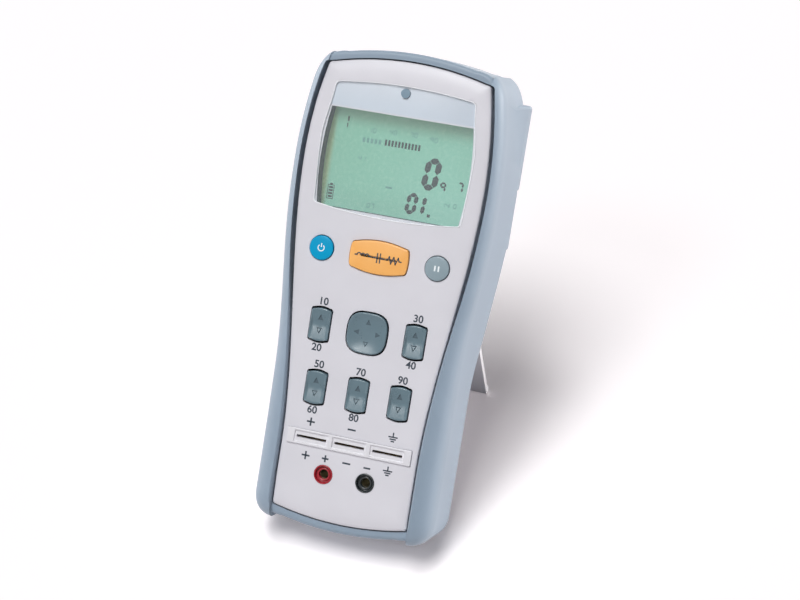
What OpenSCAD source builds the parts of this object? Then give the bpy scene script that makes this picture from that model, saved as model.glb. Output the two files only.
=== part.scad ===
// Handheld component tester in a rubber boot, leaning back on its open kickstand.
//
// Every piece is drawn in the meter's own frame: X across the face, Y up the face and Z out of
// the face, with Z = 0 at the front of the case. in_stance() then leans the meter back and puts
// the origin on the ground, in the middle of the space that it fills. Sizes are in millimetres.

/* [Stance] */
// Angle of the face above the horizontal, in degrees
lean = 58.8; // [50:0.1:70]
// Angle of the open kickstand from the vertical, in degrees
stand_lean = 22.4; // [16:0.1:24]

/* [Case] */
// Half width of the face low down, at the waist
face_low = 30.7; // [30:0.1:32]
// Half width of the face beside the display
face_high = 40.7; // [40:0.1:42]
// Lowest point of the case, up the face
case_bottom = 6.3; // [6:0.1:8]
// Highest point of the case, up the face
case_top = 208.2; // [207:0.1:209]
// Depth from the face to the back of the case
case_depth = 34.6; // [34:0.1:36]
// Depth of the line where the two halves meet
split_depth = 18; // [16:0.5:20]
// Thickness of the case walls
wall = 2.2; // [1.8:0.1:2.4]

/* [Boot] */
// Half width of the boot low down
boot_low = 41; // [40:0.1:42]
// Half width of the boot beside the display
boot_high = 46.1; // [45.5:0.1:47]
// Lowest point of the boot, up the face
boot_bottom = 2; // [1.5:0.1:3]
// Highest point of the boot, up the face
boot_top = 212.3; // [212:0.1:214]
// Depth from the face to the back of the boot
boot_depth = 38; // [37.8:0.1:39]
// Height of the side rails above the face
rail_rise = 1.5; // [1:0.1:2]
// Depth over which the side rails round off
rail_round = 12.5; // [8:0.5:15]
// Space between the boot and the case
boot_gap = 0.6; // [0.4:0.1:0.8]

/* [Display] */
// Half width of the display opening at its corners
view_w = 31.6; // [30:0.1:32]
// Bottom of the display opening
view_low = 142; // [141:0.5:143]
// Top of the display opening
view_high = 185; // [183:0.5:186]
// How far the sides of the opening bow outwards
view_bow = 1.7; // [0:0.1:2]
// Depth of the display glass below the face
glass_depth = 7.4; // [6:0.1:7.8]

/* [Keys] */
// Radius of the two round buttons
round_r = 5.3; // [4.5:0.1:5.5]
// Distance of the round buttons from the centre line
round_u = 26; // [25:0.1:27]
// Height of the three push buttons up the face
button_v = 124; // [123:0.5:125]
// How far the push buttons travel
press = 1; // [0.6:0.1:1]
// Width of a rocker key
key_w = 9.2; // [8:0.1:9.4]
// Length of a rocker key
key_l = 14.6; // [13:0.1:15]
// Width of the four-way pad
pad_w = 18; // [17.5:0.1:18.5]
// Height of the keys above the face
key_rise = 1; // [0.6:0.1:1.2]

/* [Terminals] */
// Distance between the two terminals
jack_pitch = 19.05; // [19:0.01:19.1]
// Height of the terminals up the face
jack_v = 26.9; // [26:0.1:27]
// Radius of the hole for a test plug
plug_r = 2.05; // [2:0.01:2.1]
// Radius of the hole through a terminal's insulated collar
jack_hole_r = 2.5; // [2.4:0.1:2.6]
// Depth of the metal sleeve that takes the plug
sleeve_len = 20; // [18:0.5:21]
// Length of a slot for component leads
slot_len = 13.5; // [12:0.5:14]
// Width of a slot for component leads
slot_w = 1.2; // [1:0.1:1.4]

/* [Kickstand] */
// Height of the hinge up the face
hinge_v = 124; // [123:0.5:125]
// Depth of the hinge pin below the face
hinge_depth = 34.8; // [34.7:0.05:35]
// Radius of the hinge pin
pin_r = 1.25; // [1:0.05:1.5]
// Half width of the kickstand
stand_w = 30; // [28:0.5:31]
// Thickness of the kickstand's plate
stand_t = 2.8; // [2.4:0.1:2.8]

/* [Hidden] */
$fn = 48;

// Outlines: how the ends curve, and how the shoulders taper above the display
end_curve = 0.0038;
taper = 0.0025;
shoulder_v = 160;
face_corner = 3;
boot_corner = 13;

// Levels inside the case, as Z
front_in = -wall;
back_in = wall - case_depth;
board_top = -11.4;
board_t = 1.6;
board_low = board_top - board_t;
mat_top = -9.4;
dome_top = -6.3;
stem_gap = 0.3;
stem_low = dome_top + stem_gap + press;
key_skirt = -2;
pivot_z = -3.4;
gimbal_z = -4.2;

// Keys and buttons: gaps around them, flanges behind the face, trunnions and their lugs
key_gap = 0.35;
key_end_gap = 0.8;
pad_gap = 0.5;
flange_t = 1;
flange_over = 1.1;
trunnion_r = 0.9;
running = 0.05;
lug_in = key_w / 2 + key_gap + 0.1;
lug_t = 1.2;
pad_lug_in = 10.6;
ring_in = 6;
ring_out = 8.4;
upper_key_u = 21.4;
upper_key_v = 91.1;
lower_key_u = 19;
lower_key_v = 63.8;

// Display and status light
lens_t = 1;
frame_out = 36.2;
glass_w = 34.5;
glass_over = 2.3;
status_v = 195;
status_r = 2;

// Terminals and the bar of lead slots
jack_u = jack_pitch / 2;
jack_r = 4.2;
jack_rise = 0.4;
jack_mouth_r = 3.2;
sleeve_r = 2.8;
sleeve_top = -3;
jack_low = sleeve_top - sleeve_len - 2;
bar_w = 28.2;
bar_v = 41.5;
bar_h = 6.8;
bar_rise = 0.9;
slot_pitch = 17.3;

// Battery, the box around it and the door
battery_x = -27.2;
battery_l = 46.4;
battery_low = 53.3;
battery_w = 26.5;
battery_t = 17.4;
battery_back = -32.1;
stud_h = 2.1;
stud_r = 2.9;
stud_at = [battery_low + battery_w / 2 - 6.35, battery_low + battery_w / 2 + 6.35];
contact_x = battery_x + battery_l + stud_h;
contact_t = 0.5;
contact_w = 6;
box_w = 28.7;
box_front = -13.2;
box_t = 1;
door_w = 27.4;
door_low = 52;
door_high = 80;
door_t = 2;
door_screw_v = 84;
tongue_top = 87.5;
tab_w = 8;
tab_z = -31.4;

// Screws
screw_r = 1.5;
case_screw_at = [[-23.6, 15.8], [23.6, 15.8], [-30.4, 197], [30.4, 197]];
board_screw_at = [[-25.8, 47.6], [25.8, 47.6], [-28, 108], [28, 108]];

// Boot: crest and rounding of the side rails, their noses, and the bands across the ends
rail_crest = 2.5;
cap_round = 6;
nose_reach = 1.2;
nose_low = 31.3;
nose_high = 36.3;
tub_shrink = 0.3;
band_drop = 2.3;
band_edge = 1.2;
back_edge = 3;
flare = 1.2;
flare_low = 65;
heel_flat = 0.8;

// Boot: raised back plate with its probe channels, and the window for the folded kickstand
plate_w = 46.9;
plate_low = 134;
plate_step = 160.5;
plate_high = 198.2;
plate_back = -42;
plate_front = -34;
channel_u = 31;
channel_r = 4.2;
window_w = 31.2;
window_low = 9;
window_high = 130;

// Kickstand: turned through swing from the meter's length, it reaches the ground under the heel
swing = 90 + stand_lean;
stand_open = swing - lean;
foot_r = 2.1;
foot_z = -2.2;
barrel_r = 3;
heel_len = 5.6;
heel_t = 2.2;
heel_w = stand_w + 0.3;
lug_start = stand_w + 0.2;
lug_end = 34;
ground = (boot_bottom + back_edge) * sin(lean) + (back_edge - boot_depth) * cos(lean)
    - back_edge + heel_flat;
pin_height = hinge_v * sin(lean) - hinge_depth * cos(lean) - ground;
stand_len = (pin_height + foot_z * cos(swing) - foot_r) / sin(swing);

// Middle of the space that the standing meter fills, before it is moved to the origin
mid_y = 72;

// Leans a piece back from the meter's frame and sets it on the ground
module in_stance() {
    translate([0, -mid_y, -ground]) rotate([lean, 0, 0]) children();
}

// Goes from 0 to 1 with a level start and end
function ease(t) = let (c = min(max(t, 0), 1)) c * c * (3 - 2 * c);

// Half widths of the case and of the boot at height v
function case_at(v) =
    face_low + (face_high - face_low) * ease((v - 37) / 123) - taper * pow(max(0, v - shoulder_v), 2);
function boot_at(v) =
    boot_low + (boot_high - boot_low) * ease((v - 72) / 78) - taper * pow(max(0, v - shoulder_v), 2);

// Points of a curve from a to b that bends around the point k
function bend(a, k, b, steps) = [for (i = [0 : steps])
    let (t = i / steps) (1 - t) * (1 - t) * a + 2 * t * (1 - t) * k + t * t * b];

// Right half of a rounded outline, from bottom to top, whose half width at height v is w(v)
function half_outline(w, low, high, curve, corner, steps) =
    let (u0 = w(low + corner) - corner, u1 = w(high - corner) - corner,
        v0 = low + curve * u0 * u0, v1 = high - curve * u1 * u1)
    concat(
        [for (i = [0 : 6]) let (u = u0 * i / 7) [u, low + curve * u * u]],
        bend([u0, v0], [w(v0), v0], [w(v0 + corner), v0 + corner], 6),
        [for (i = [1 : steps - 1])
            let (v = v0 + corner + (v1 - v0 - 2 * corner) * i / steps) [w(v), v]],
        bend([w(v1 - corner), v1 - corner], [w(v1), v1], [u1, v1], 6),
        [for (i = [6 : -1 : 0]) let (u = u1 * i / 7) [u, high - curve * u * u]]);

// Closes a half outline with its mirror image
function both_sides(half) = concat(half,
    [for (i = [len(half) - 2 : -1 : 1]) [-half[i].x, half[i].y]]);

// Outline of the case, drawn in or out by an inset
function case_outline(inset, steps = 18) = both_sides(half_outline(
    function (v) case_at(v) - inset, case_bottom + inset, case_top - inset,
    end_curve, face_corner, steps));

// Outline of the boot. shrink runs from 0 at full width to 1 at the crest of the side rails, and
// reach is how far the ends of the rails stand out past the bands across the ends
function boot_outline(shrink, inset, reach) = both_sides(half_outline(
    function (v) boot_at(v) - inset - shrink * (boot_at(v) - case_at(v) - boot_gap - rail_crest),
    boot_bottom + inset - reach, boot_top - inset + reach, end_curve, boot_corner, 16));

// Back outline of the rails, whose sides flare outwards beside the upper keys and the display
function flared_outline(inset) = both_sides(half_outline(
    function (v) boot_at(v) - inset + flare * ease((v - flare_low) / 35),
    boot_bottom + inset - nose_reach, boot_top - inset + nose_reach, end_curve, boot_corner, 16));

// Slab with the given outline between two heights
module slab(points, low, high) {
    translate([0, 0, low]) linear_extrude(high - low) polygon(points);
}

// Block between two corners
module block(a, b) {
    translate(a) cube(b - a);
}

// Upright round bar or hole between two heights
module post(at, r, low, high) {
    translate([at.x, at.y, low]) cylinder(r = r, h = high - low);
}

// Bar along X between two positions
module cross_bar(u0, u1, v, z, r) {
    translate([u0, v, z]) rotate([0, 90, 0]) cylinder(r = r, h = u1 - u0);
}

// Solid between rings of equal length, each [height, points]
module loft(rings) {
    n = len(rings[0][1]);
    points = [for (ring = rings) for (p = ring[1]) [p.x, p.y, ring[0]]];
    sides = [for (k = [0 : len(rings) - 2]) for (i = [0 : n - 1])
        [k * n + i, k * n + (i + 1) % n, (k + 1) * n + (i + 1) % n, (k + 1) * n + i]];
    top = [for (i = [0 : n - 1]) (len(rings) - 1) * n + i];
    base = [for (i = [n - 1 : -1 : 0]) i];
    polyhedron(points, [for (f = concat(sides, [top, base])) [for (i = [len(f) - 1 : -1 : 0]) f[i]]]);
}

// Outline of the display opening, grown by an amount
function view_outline(grow) = let (low = view_low - grow, high = view_high + grow)
    both_sides(concat([[0, low]],
        [for (i = [0 : 12]) let (t = i / 12)
            [view_w + grow + view_bow * 4 * t * (1 - t), low + (high - low) * t]],
        [[0, high]]));

// Outline of the window over the display
function window_outline(inset) = both_sides(half_outline(
    function (v) 33.3 + 1.1 * sin(180 * ease((v - 140) / 60)) - 2 * ease((v - 172) / 24) - inset,
    140.3 + inset, 198.2 - inset, 0.0024, 2.4, 12));

// Outline of a key with arched ends
function key_outline(w, l, arch, corner) = both_sides(half_outline(
    function (v) w / 2, -l / 2, l / 2, arch, corner, 2));

// Outline of the wide button: bowed sides, arched top and bottom
function test_outline(grow) = both_sides(half_outline(
    function (v) 11.9 + grow + 1.2 * (1 - pow(v / 8, 2)), -7.1 - grow, 7.2 + grow, 0.013, 1.6, 6));

/* Boot */

// Tub with the bands across the ends, whose front lies below the face
module boot_tub() {
    back = [for (a = [0 : 30 : 90]) [-boot_depth + back_edge * (1 - cos(a)),
        boot_outline(tub_shrink, back_edge * (1 - sin(a)), 0)]];
    front = [for (a = [0 : 30 : 90])
        [-band_drop - band_edge * (1 - sin(a)), boot_outline(tub_shrink, band_edge * (1 - cos(a)), 0)]];
    loft(concat(back, front));
}

// Side rails: they round over to a crest beside the face and end in domed noses
module boot_rails() {
    back = [for (a = [0 : 30 : 90])
        [-boot_depth + back_edge * (1 - cos(a)), flared_outline(back_edge * (1 - sin(a)))]];
    front = [for (a = [0, 15, 30, 45, 60, 72, 82, 90])
        let (z = rail_rise - rail_round * (1 - sin(a)), over = max(0, z + cap_round - rail_rise))
        [z, boot_outline(1 - cos(a), cap_round - sqrt(cap_round * cap_round - over * over), nose_reach)]];
    difference() {
        loft(concat(back, front));
        for (end = [[-5, 16, nose_low], [200, 220, nose_high]]) {
            block([-end[2], end[0], -boot_depth - 1], [end[2], end[1], rail_rise + 1]);
        }
    }
}

// Raised plate on the back, with a channel on each side that holds a test lead's probe
module back_plate() {
    for (part = [[plate_low, plate_step, plate_w - 0.5], [plate_step, plate_high, plate_w]]) {
        block([-part[2], part[0], plate_back], [part[2], part[1], plate_front]);
    }
}

module boot() color([0.55, 0.61, 0.69]) in_stance() difference() {
    union() {
        boot_tub();
        boot_rails();
        back_plate();
    }
    // Hollow for the case
    slab(case_outline(-boot_gap), -case_depth - 0.2, rail_rise + 1);
    // Way through the back for the folded kickstand and its hinge
    block([-window_w, window_low, -boot_depth - 1], [window_w, window_high, -case_depth]);
    block([-lug_end - 0.6, hinge_v - 5, -boot_depth - 1], [lug_end + 0.6, window_high, -case_depth]);
    // Probe channels
    for (side = [-1, 1]) {
        translate([side * channel_u, plate_low - 1, plate_back]) rotate([-90, 0, 0])
            cylinder(r = channel_r, h = plate_high - plate_low + 2);
    }
    // Flat heel that stands on the ground
    rotate([-lean, 0, 0]) block([-60, -60, ground - 20], [60, 160, ground]);
}

/* Case */
// Places of the five rocker keys
rockers = [[-upper_key_u, upper_key_v], [upper_key_u, upper_key_v], [-lower_key_u, lower_key_v],
    [0, lower_key_v], [lower_key_u, lower_key_v]];

// Holes through the face for everything that shows on it
module face_holes() {
    slab(window_outline(-0.15), -lens_t, 1);
    slab(view_outline(0.4), -wall - 1, 0);
    post([0, status_v], status_r + 0.3, -wall - 1, 1);
    for (side = [-1, 1]) {
        post([side * round_u, button_v], round_r + key_gap, -wall - 1, 1);
        post([side * jack_u, jack_v], jack_r + 0.1, -wall - 1, 1);
    }
    translate([0, button_v, 0]) slab(test_outline(key_gap), -wall - 1, 1);
    for (at = rockers) {
        translate(at) slab(key_outline(key_w + 2 * key_gap, key_l + 2 * key_end_gap, 0.05, 1.5),
            -wall - 1, 1);
    }
    translate([0, upper_key_v, 0]) slab(pad_outline(pad_gap), -wall - 1, 1);
    block([-bar_w - 0.1, bar_v - bar_h / 2 - 0.1, -wall - 1], [bar_w + 0.1, bar_v + bar_h / 2 + 0.1, 1]);
}

// Lugs under the face that carry the keys' trunnions
module key_lugs() {
    for (at = rockers, side = [-1, 1]) {
        translate([at.x + side * (lug_in + lug_t / 2), at.y, 0])
            block([-lug_t / 2, -1.8, pivot_z - 1.8], [lug_t / 2, 1.8, front_in]);
    }
    for (side = [-1, 1]) {
        translate([side * (pad_lug_in + lug_t / 2), upper_key_v, 0])
            block([-lug_t / 2, -1.8, gimbal_z - 1.8], [lug_t / 2, 1.8, front_in]);
    }
}

module front_shell() color([0.86, 0.85, 0.88]) in_stance() difference() {
    union() {
        difference() {
            slab(case_outline(0), -split_depth, -0.8);
            slab(case_outline(wall), -split_depth - 1, front_in);
        }
        slab(case_outline(0.5), -0.8, -0.25);
        slab(case_outline(0.9), -0.25, 0);
        for (at = case_screw_at) post(at, 3.2, board_top, front_in);
        for (at = board_screw_at) post(at, 2.6, board_top, front_in);
        key_lugs();
    }
    face_holes();
    for (at = case_screw_at) post(at, screw_r, board_top - 1, -3.5);
    for (at = board_screw_at) post(at, 1.1, board_top - 1, -3.5);
    for (at = rockers) {
        cross_bar(at.x - lug_in - 2, at.x + lug_in + 2, at.y, pivot_z, trunnion_r + running);
    }
    cross_bar(-pad_lug_in - 2, pad_lug_in + 2, upper_key_v, gimbal_z, trunnion_r + running);
}

module rear_shell() color([0.84, 0.83, 0.86]) in_stance() difference() {
    union() {
        difference() {
            slab(case_outline(0), -case_depth, -split_depth);
            slab(case_outline(wall), back_in, -split_depth + 1);
        }
        // Battery box
        block([-box_w, door_low - 1.6, back_in - 0.1], [box_w, door_high + 1.6, box_front]);
        // Thick ground around the hinge pocket
        block([-37, hinge_v - 6, back_in - 0.1], [37, hinge_v + 8, -27.5]);
        // Hinge lugs
        for (side = [-1, 1]) hinge_lug(side);
        for (at = case_screw_at) post(at, 4.4, back_in - 0.1, board_low);
        post([0, door_screw_v], 3.5, back_in - 0.1, -24);
    }
    // Battery space, open to the back
    block([-box_w + box_t, door_low - 0.3, -case_depth - 1],
        [box_w - box_t, door_high + 0.3, box_front - box_t]);
    block([-5.4, door_high, -case_depth - 1], [5.4, tongue_top + 0.3, -case_depth + door_t]);
    post([0, door_screw_v], 1.1, -case_depth, -25.5);
    // Slots for the tails of the battery contacts
    contact_slots(box_front - box_t - 1, box_front + 1);
    // Tab slot under the lower edge of the door
    block([-tab_w - 0.3, door_low - 1.7, -32.8], [tab_w + 0.3, door_low, tab_z + 0.2]);
    // Pocket for the kickstand's barrel, and the slope that stops its heel
    block([-stand_w - 0.4, hinge_v - 3.4, -case_depth - 4], [stand_w + 0.4, hinge_v + 3.4, -31.4]);
    translate([0, hinge_v, -hinge_depth]) rotate([stand_open, 0, 0])
        block([-heel_w, 0, -3.6], [heel_w, heel_len + 0.4, heel_t / 2 + 0.03]);
    block([-heel_w + 0.1, hinge_v, -case_depth - 1],
        [heel_w - 0.1, hinge_v + heel_len + 0.5, -case_depth + 1.4]);
    cross_bar(-lug_end - 1, lug_end + 1, hinge_v, -hinge_depth, pin_r + 0.01);
    for (at = case_screw_at) {
        post(at, screw_r + 0.25, -case_depth - 1, board_low + 1);
        post(at, 3.1, -case_depth - 1, -27);
    }
}

// Lug that holds one end of the hinge pin
module hinge_lug(side) {
    low = side < 0 ? -lug_end : lug_start;
    high = side < 0 ? -lug_start : lug_end;
    cross_bar(low, high, hinge_v, -hinge_depth, barrel_r);
    block([low, hinge_v - barrel_r, -hinge_depth], [high, hinge_v + barrel_r, -30]);
}

module case_screws() color([0.7, 0.7, 0.72]) in_stance() {
    for (at = case_screw_at) {
        difference() {
            union() {
                post(at, screw_r - 0.02, -27, -6);
                post(at, 2.8, -29, -27);
            }
            translate([at.x, at.y, -28]) block([-2, -0.35, -2], [2, 0.35, 0]);
            translate([at.x, at.y, -28]) block([-0.35, -2, -2], [0.35, 2, 0]);
        }
    }
}

module board_screws() color([0.7, 0.7, 0.72]) in_stance() {
    for (at = board_screw_at) {
        post(at, 1.08, board_low, -5);
        difference() {
            post(at, 2.1, board_low - 1.4, board_low);
            translate([at.x, at.y, board_low - 1.4]) block([-1.5, -0.3, -1], [1.5, 0.3, 0.6]);
        }
    }
}

/* Display */
module window_lens() color([0.8, 0.86, 0.9]) in_stance() difference() {
    slab(window_outline(0), -lens_t, -0.05);
    post([0, status_v], status_r + 0.1, -wall, 1);
}

module status_lens() color([0.45, 0.55, 0.62]) in_stance() {
    post([0, status_v], status_r, -wall, 0);
    post([0, status_v], status_r + 0.8, -wall - 1.2, -wall);
    post([0, status_v], 1.5, board_top, -wall - 1.2);
}

module display_frame() color([0.3, 0.33, 0.36]) in_stance() difference() {
    block([-frame_out, 138, board_top], [frame_out, 189, front_in]);
    slab(view_outline(0), board_top - 1, 0);
    block([-glass_w - 0.1, view_low - glass_over - 0.1, board_top - 1],
        [glass_w + 0.1, view_high + glass_over + 0.1, -glass_depth]);
}

module display_glass() color([0.58, 0.75, 0.65]) in_stance()
    block([-glass_w, view_low - glass_over, -glass_depth - 2.6],
        [glass_w, view_high + glass_over, -glass_depth]);

module display_reflector() color([0.9, 0.92, 0.8]) in_stance()
    block([-glass_w + 1, view_low - 1, board_top], [glass_w - 1, view_high + 1, -glass_depth - 2.6]);

/* Circuit board */
module main_board() color([0.1, 0.35, 0.2]) in_stance() difference() {
    slab(case_outline(3, 12), board_low, board_top);
    for (at = case_screw_at) post(at, screw_r + 0.3, -20, 0);
    for (at = board_screw_at) post(at, 1.2, -20, 0);
    for (side = [-1, 1]) post([side * jack_u, jack_v], jack_r + 0.3, -20, 0);
    contact_slots(board_low - 1, board_top + 1);
}

// Chips, crystal and two range relays, each [corner, size]
chips = [[[-7, 143], [14, 14, 2]], [[-27, 160], [10, 12, 2]], [[14, 160], [11, 4.5, 3.6]],
    [[-30, 85], [15, 7.5, 8]], [[13, 85], [15, 7.5, 8]], [[-5, 18], [8, 6, 1.6]]];

module board_chips() color([0.12, 0.12, 0.13]) in_stance() {
    for (chip = chips) {
        translate([chip[0].x, chip[0].y, board_low - chip[1].z]) cube(chip[1]);
    }
}

module buzzer() color([0.08, 0.08, 0.09]) in_stance() difference() {
    post([18, 104], 6, board_low - 5, board_low);
    post([18, 104], 1, board_low - 6, board_low - 3.5);
}

/* Keypad */
mat_half = [[0, 54], [24.5, 54], [24.5, 76], [27.5, 82], [27.5, 101], [24.8, 104], [24.8, 114],
    [32, 118], [32, 132], [0, 132]];

module keypad_mat() color([0.25, 0.27, 0.28]) in_stance() {
    slab(both_sides(mat_half), board_top, mat_top);
    for (at = rockers, end = [-4.6, 4.6]) post([at.x, at.y + end], 2, mat_top, dome_top);
    for (side = [-1, 1]) {
        post([side * round_u, button_v], 2.6, mat_top, dome_top);
        post([side * 5.8, upper_key_v], 2, mat_top, dome_top - 0.8);
        post([0, upper_key_v + side * 5.8], 2, mat_top, dome_top - 0.8);
    }
    post([0, button_v], 3, mat_top, dome_top);
}

// Round push button, with a flange that keeps it behind the face
module round_button(side) {
    at = [side * round_u, button_v];
    post(at, round_r, front_in - 0.05, 1.2);
    post(at, round_r + flange_over, front_in - 0.05 - flange_t, front_in - 0.05);
    post(at, 2.4, stem_low, front_in - 0.05 - flange_t);
}

module power_button() color([0.04, 0.6, 0.78]) in_stance() round_button(-1);

module hold_button() color([0.44, 0.5, 0.54]) in_stance() round_button(1);

module test_button() color([0.97, 0.66, 0.23]) in_stance() translate([0, button_v, 0]) {
    slab(test_outline(0), front_in - 0.05, 1.4);
    slab(test_outline(flange_over), front_in - 0.05 - flange_t, front_in - 0.05);
    post([0, 0], 2.8, stem_low, front_in - 0.05 - flange_t);
}

// Rocker key on two trunnions
module rocker_key(at) {
    translate(at) {
        slab(key_outline(key_w, key_l, 0.05, 1.2), key_skirt, key_rise);
        block([-3.4, -6, stem_low], [3.4, 6, key_skirt]);
        cross_bar(-lug_in - lug_t, lug_in + lug_t, 0, pivot_z, trunnion_r);
    }
}

module cal_key() color([0.46, 0.54, 0.56]) in_stance() rocker_key(rockers[0]);
module setup_key() color([0.46, 0.54, 0.56]) in_stance() rocker_key(rockers[1]);
module mode_key() color([0.46, 0.54, 0.56]) in_stance() rocker_key(rockers[2]);
module frequency_key() color([0.46, 0.54, 0.56]) in_stance() rocker_key(rockers[3]);
module zero_key() color([0.46, 0.54, 0.56]) in_stance() rocker_key(rockers[4]);

// Outline of the four-way pad, a square with bowed sides and round corners
function pad_outline(grow) = [for (a = [0 : 9 : 351])
    let (r = (pad_w / 2 + grow) / pow(pow(abs(cos(a)), 3) + pow(abs(sin(a)), 3), 1 / 3))
    [r * cos(a), r * sin(a)]];

// Ring that rocks on the lugs of the shell and carries the trunnions of the four-way pad
module pad_gimbal() color([0.3, 0.32, 0.34]) in_stance() translate([0, upper_key_v, 0]) difference() {
    union() {
        post([0, 0], ring_out, gimbal_z - 1.5, gimbal_z + 1.5);
        cross_bar(-pad_lug_in - lug_t, pad_lug_in + lug_t, 0, gimbal_z, trunnion_r);
    }
    post([0, 0], ring_in, gimbal_z - 2, gimbal_z + 2);
    translate([0, 0, gimbal_z]) rotate([90, 0, 0])
        cylinder(r = trunnion_r + running, h = 3 * ring_out, center = true);
}

module nav_pad() color([0.46, 0.54, 0.56]) in_stance() translate([0, upper_key_v, 0]) {
    slab(pad_outline(0), -1.8, key_rise);
    post([0, 0], 4.6, gimbal_z - 1.6, -1.8);
    translate([0, 0, gimbal_z]) rotate([90, 0, 0])
        cylinder(r = trunnion_r, h = 2 * ring_out - 0.4, center = true);
}

/* Terminals */
module socket_bar() color([0.91, 0.9, 0.92]) in_stance() difference() {
    block([-bar_w, bar_v - bar_h / 2, board_top], [bar_w, bar_v + bar_h / 2, bar_rise]);
    for (i = [-1 : 1]) {
        translate([i * slot_pitch, bar_v, 0]) {
            block([-8.2, -2.5, bar_rise - 0.6], [8.2, 2.5, bar_rise + 1]);
            block([-slot_len / 2, -slot_w / 2, -10.4], [slot_len / 2, slot_w / 2, bar_rise]);
            block([-slot_len / 2, -1.6, -10.4], [slot_len / 2, 1.6, -2.2]);
        }
    }
}

module socket_contacts() color([0.85, 0.75, 0.45]) in_stance() {
    for (i = [-1 : 1], side = [-1, 1]) {
        translate([i * slot_pitch, bar_v + side * 0.9, 0])
            block([-slot_len / 2 + 0.4, -0.15, -10.4], [slot_len / 2 - 0.4, 0.15, -2.6]);
    }
}

module jack(side) {
    at = [side * jack_u, jack_v];
    difference() {
        post(at, jack_r, jack_low, jack_rise);
        post(at, jack_mouth_r, jack_rise - 0.8, jack_rise + 1);
        post(at, jack_hole_r, sleeve_top, jack_rise);
        post(at, sleeve_r + 0.01, jack_low - 1, sleeve_top);
    }
}

module red_jack() color([0.5, 0.12, 0.15]) in_stance() jack(-1);

module black_jack() color([0.13, 0.16, 0.17]) in_stance() jack(1);

module jack_sleeves() color([0.75, 0.72, 0.6]) in_stance() {
    for (side = [-1, 1]) {
        at = [side * jack_u, jack_v];
        difference() {
            post(at, sleeve_r, jack_low - 1.5, sleeve_top);
            post(at, plug_r, sleeve_top - sleeve_len, sleeve_top + 1);
        }
    }
}

/* Battery */
// Slots that the tails of the battery contacts pass through
module contact_slots(low, high) {
    for (v = stud_at) {
        block([contact_x - 0.2, v - contact_w / 2 - 0.2, low],
            [contact_x + contact_t + 0.2, v + contact_w / 2 + 0.2, high]);
    }
}

module battery() color([0.2, 0.2, 0.22]) in_stance() {
    block([battery_x, battery_low, battery_back],
        [battery_x + battery_l, battery_low + battery_w, battery_back + battery_t]);
    for (v = stud_at) {
        cross_bar(battery_x + battery_l, contact_x, v, battery_back + battery_t / 2, stud_r);
    }
}

module battery_contacts() color([0.85, 0.75, 0.45]) in_stance() {
    for (v = stud_at) {
        block([contact_x, v - contact_w / 2, -29], [contact_x + contact_t, v + contact_w / 2, board_top]);
    }
}

module battery_door() color([0.84, 0.83, 0.86]) in_stance() difference() {
    union() {
        block([-door_w, door_low, -case_depth], [door_w, door_high, -case_depth + door_t]);
        block([-5, door_high - 1, -case_depth], [5, tongue_top, -case_depth + door_t]);
        block([-tab_w, door_low, -case_depth], [tab_w, door_low + 1.1, tab_z]);
        block([-tab_w, door_low - 1.4, -case_depth + door_t], [tab_w, door_low + 1.1, tab_z]);
    }
    post([0, door_screw_v], 1.5, -40, -30);
    post([0, door_screw_v], 2.3, -40, -case_depth + 1);
}

module door_screw() color([0.7, 0.7, 0.72]) in_stance() difference() {
    union() {
        post([0, door_screw_v], 1.08, -case_depth + 1, -26.5);
        post([0, door_screw_v], 2.2, -case_depth + 0.1, -case_depth + 1);
    }
    translate([0, door_screw_v, -case_depth]) block([-1.6, -0.3, -1], [1.6, 0.3, 0.6]);
}

/* Kickstand, drawn folded with its hinge pin at the origin and then swung open */
module kickstand() color([0.9, 0.9, 0.92]) in_stance()
    translate([0, hinge_v, -hinge_depth]) rotate([stand_open, 0, 0]) difference() {
        union() {
            cross_bar(-stand_w, stand_w, 0, 0, barrel_r);
            block([-stand_w, -stand_len, -barrel_r], [stand_w, 0, stand_t - barrel_r]);
            block([-stand_w, 0, -heel_t / 2], [stand_w, heel_len, heel_t / 2]);
            cross_bar(-stand_w, stand_w, -stand_len, foot_z, foot_r);
        }
        cross_bar(-stand_w - 1, stand_w + 1, 0, 0, pin_r + running);
    }

module hinge_pin() color([0.7, 0.7, 0.72]) in_stance()
    cross_bar(-lug_end + 0.2, lug_end - 0.2, hinge_v, -hinge_depth, pin_r);

boot();
front_shell();
rear_shell();
window_lens();
status_lens();
display_frame();
display_glass();
display_reflector();
main_board();
board_chips();
buzzer();
keypad_mat();
power_button();
test_button();
hold_button();
cal_key();
setup_key();
mode_key();
frequency_key();
zero_key();
pad_gimbal();
nav_pad();
socket_bar();
socket_contacts();
red_jack();
black_jack();
jack_sleeves();
battery();
battery_contacts();
battery_door();
door_screw();
case_screws();
board_screws();
kickstand();
hinge_pin();
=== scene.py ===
# %% [markdown]
# # A component tester in its rubber boot
# This lesson dresses a handheld component tester: a white meter with a grey-green display,
# push buttons, rocker keys, lead slots and two terminals. It sits in a blue-grey boot and leans
# on a folding kickstand. The construction model gives the frame, which holds every solid in its
# real place and in metres. We load it first. A dressed model must not outgrow it.

# %% Load the construction model
import math

import bmesh
import bpy
from mathutils import Matrix, Vector


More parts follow.
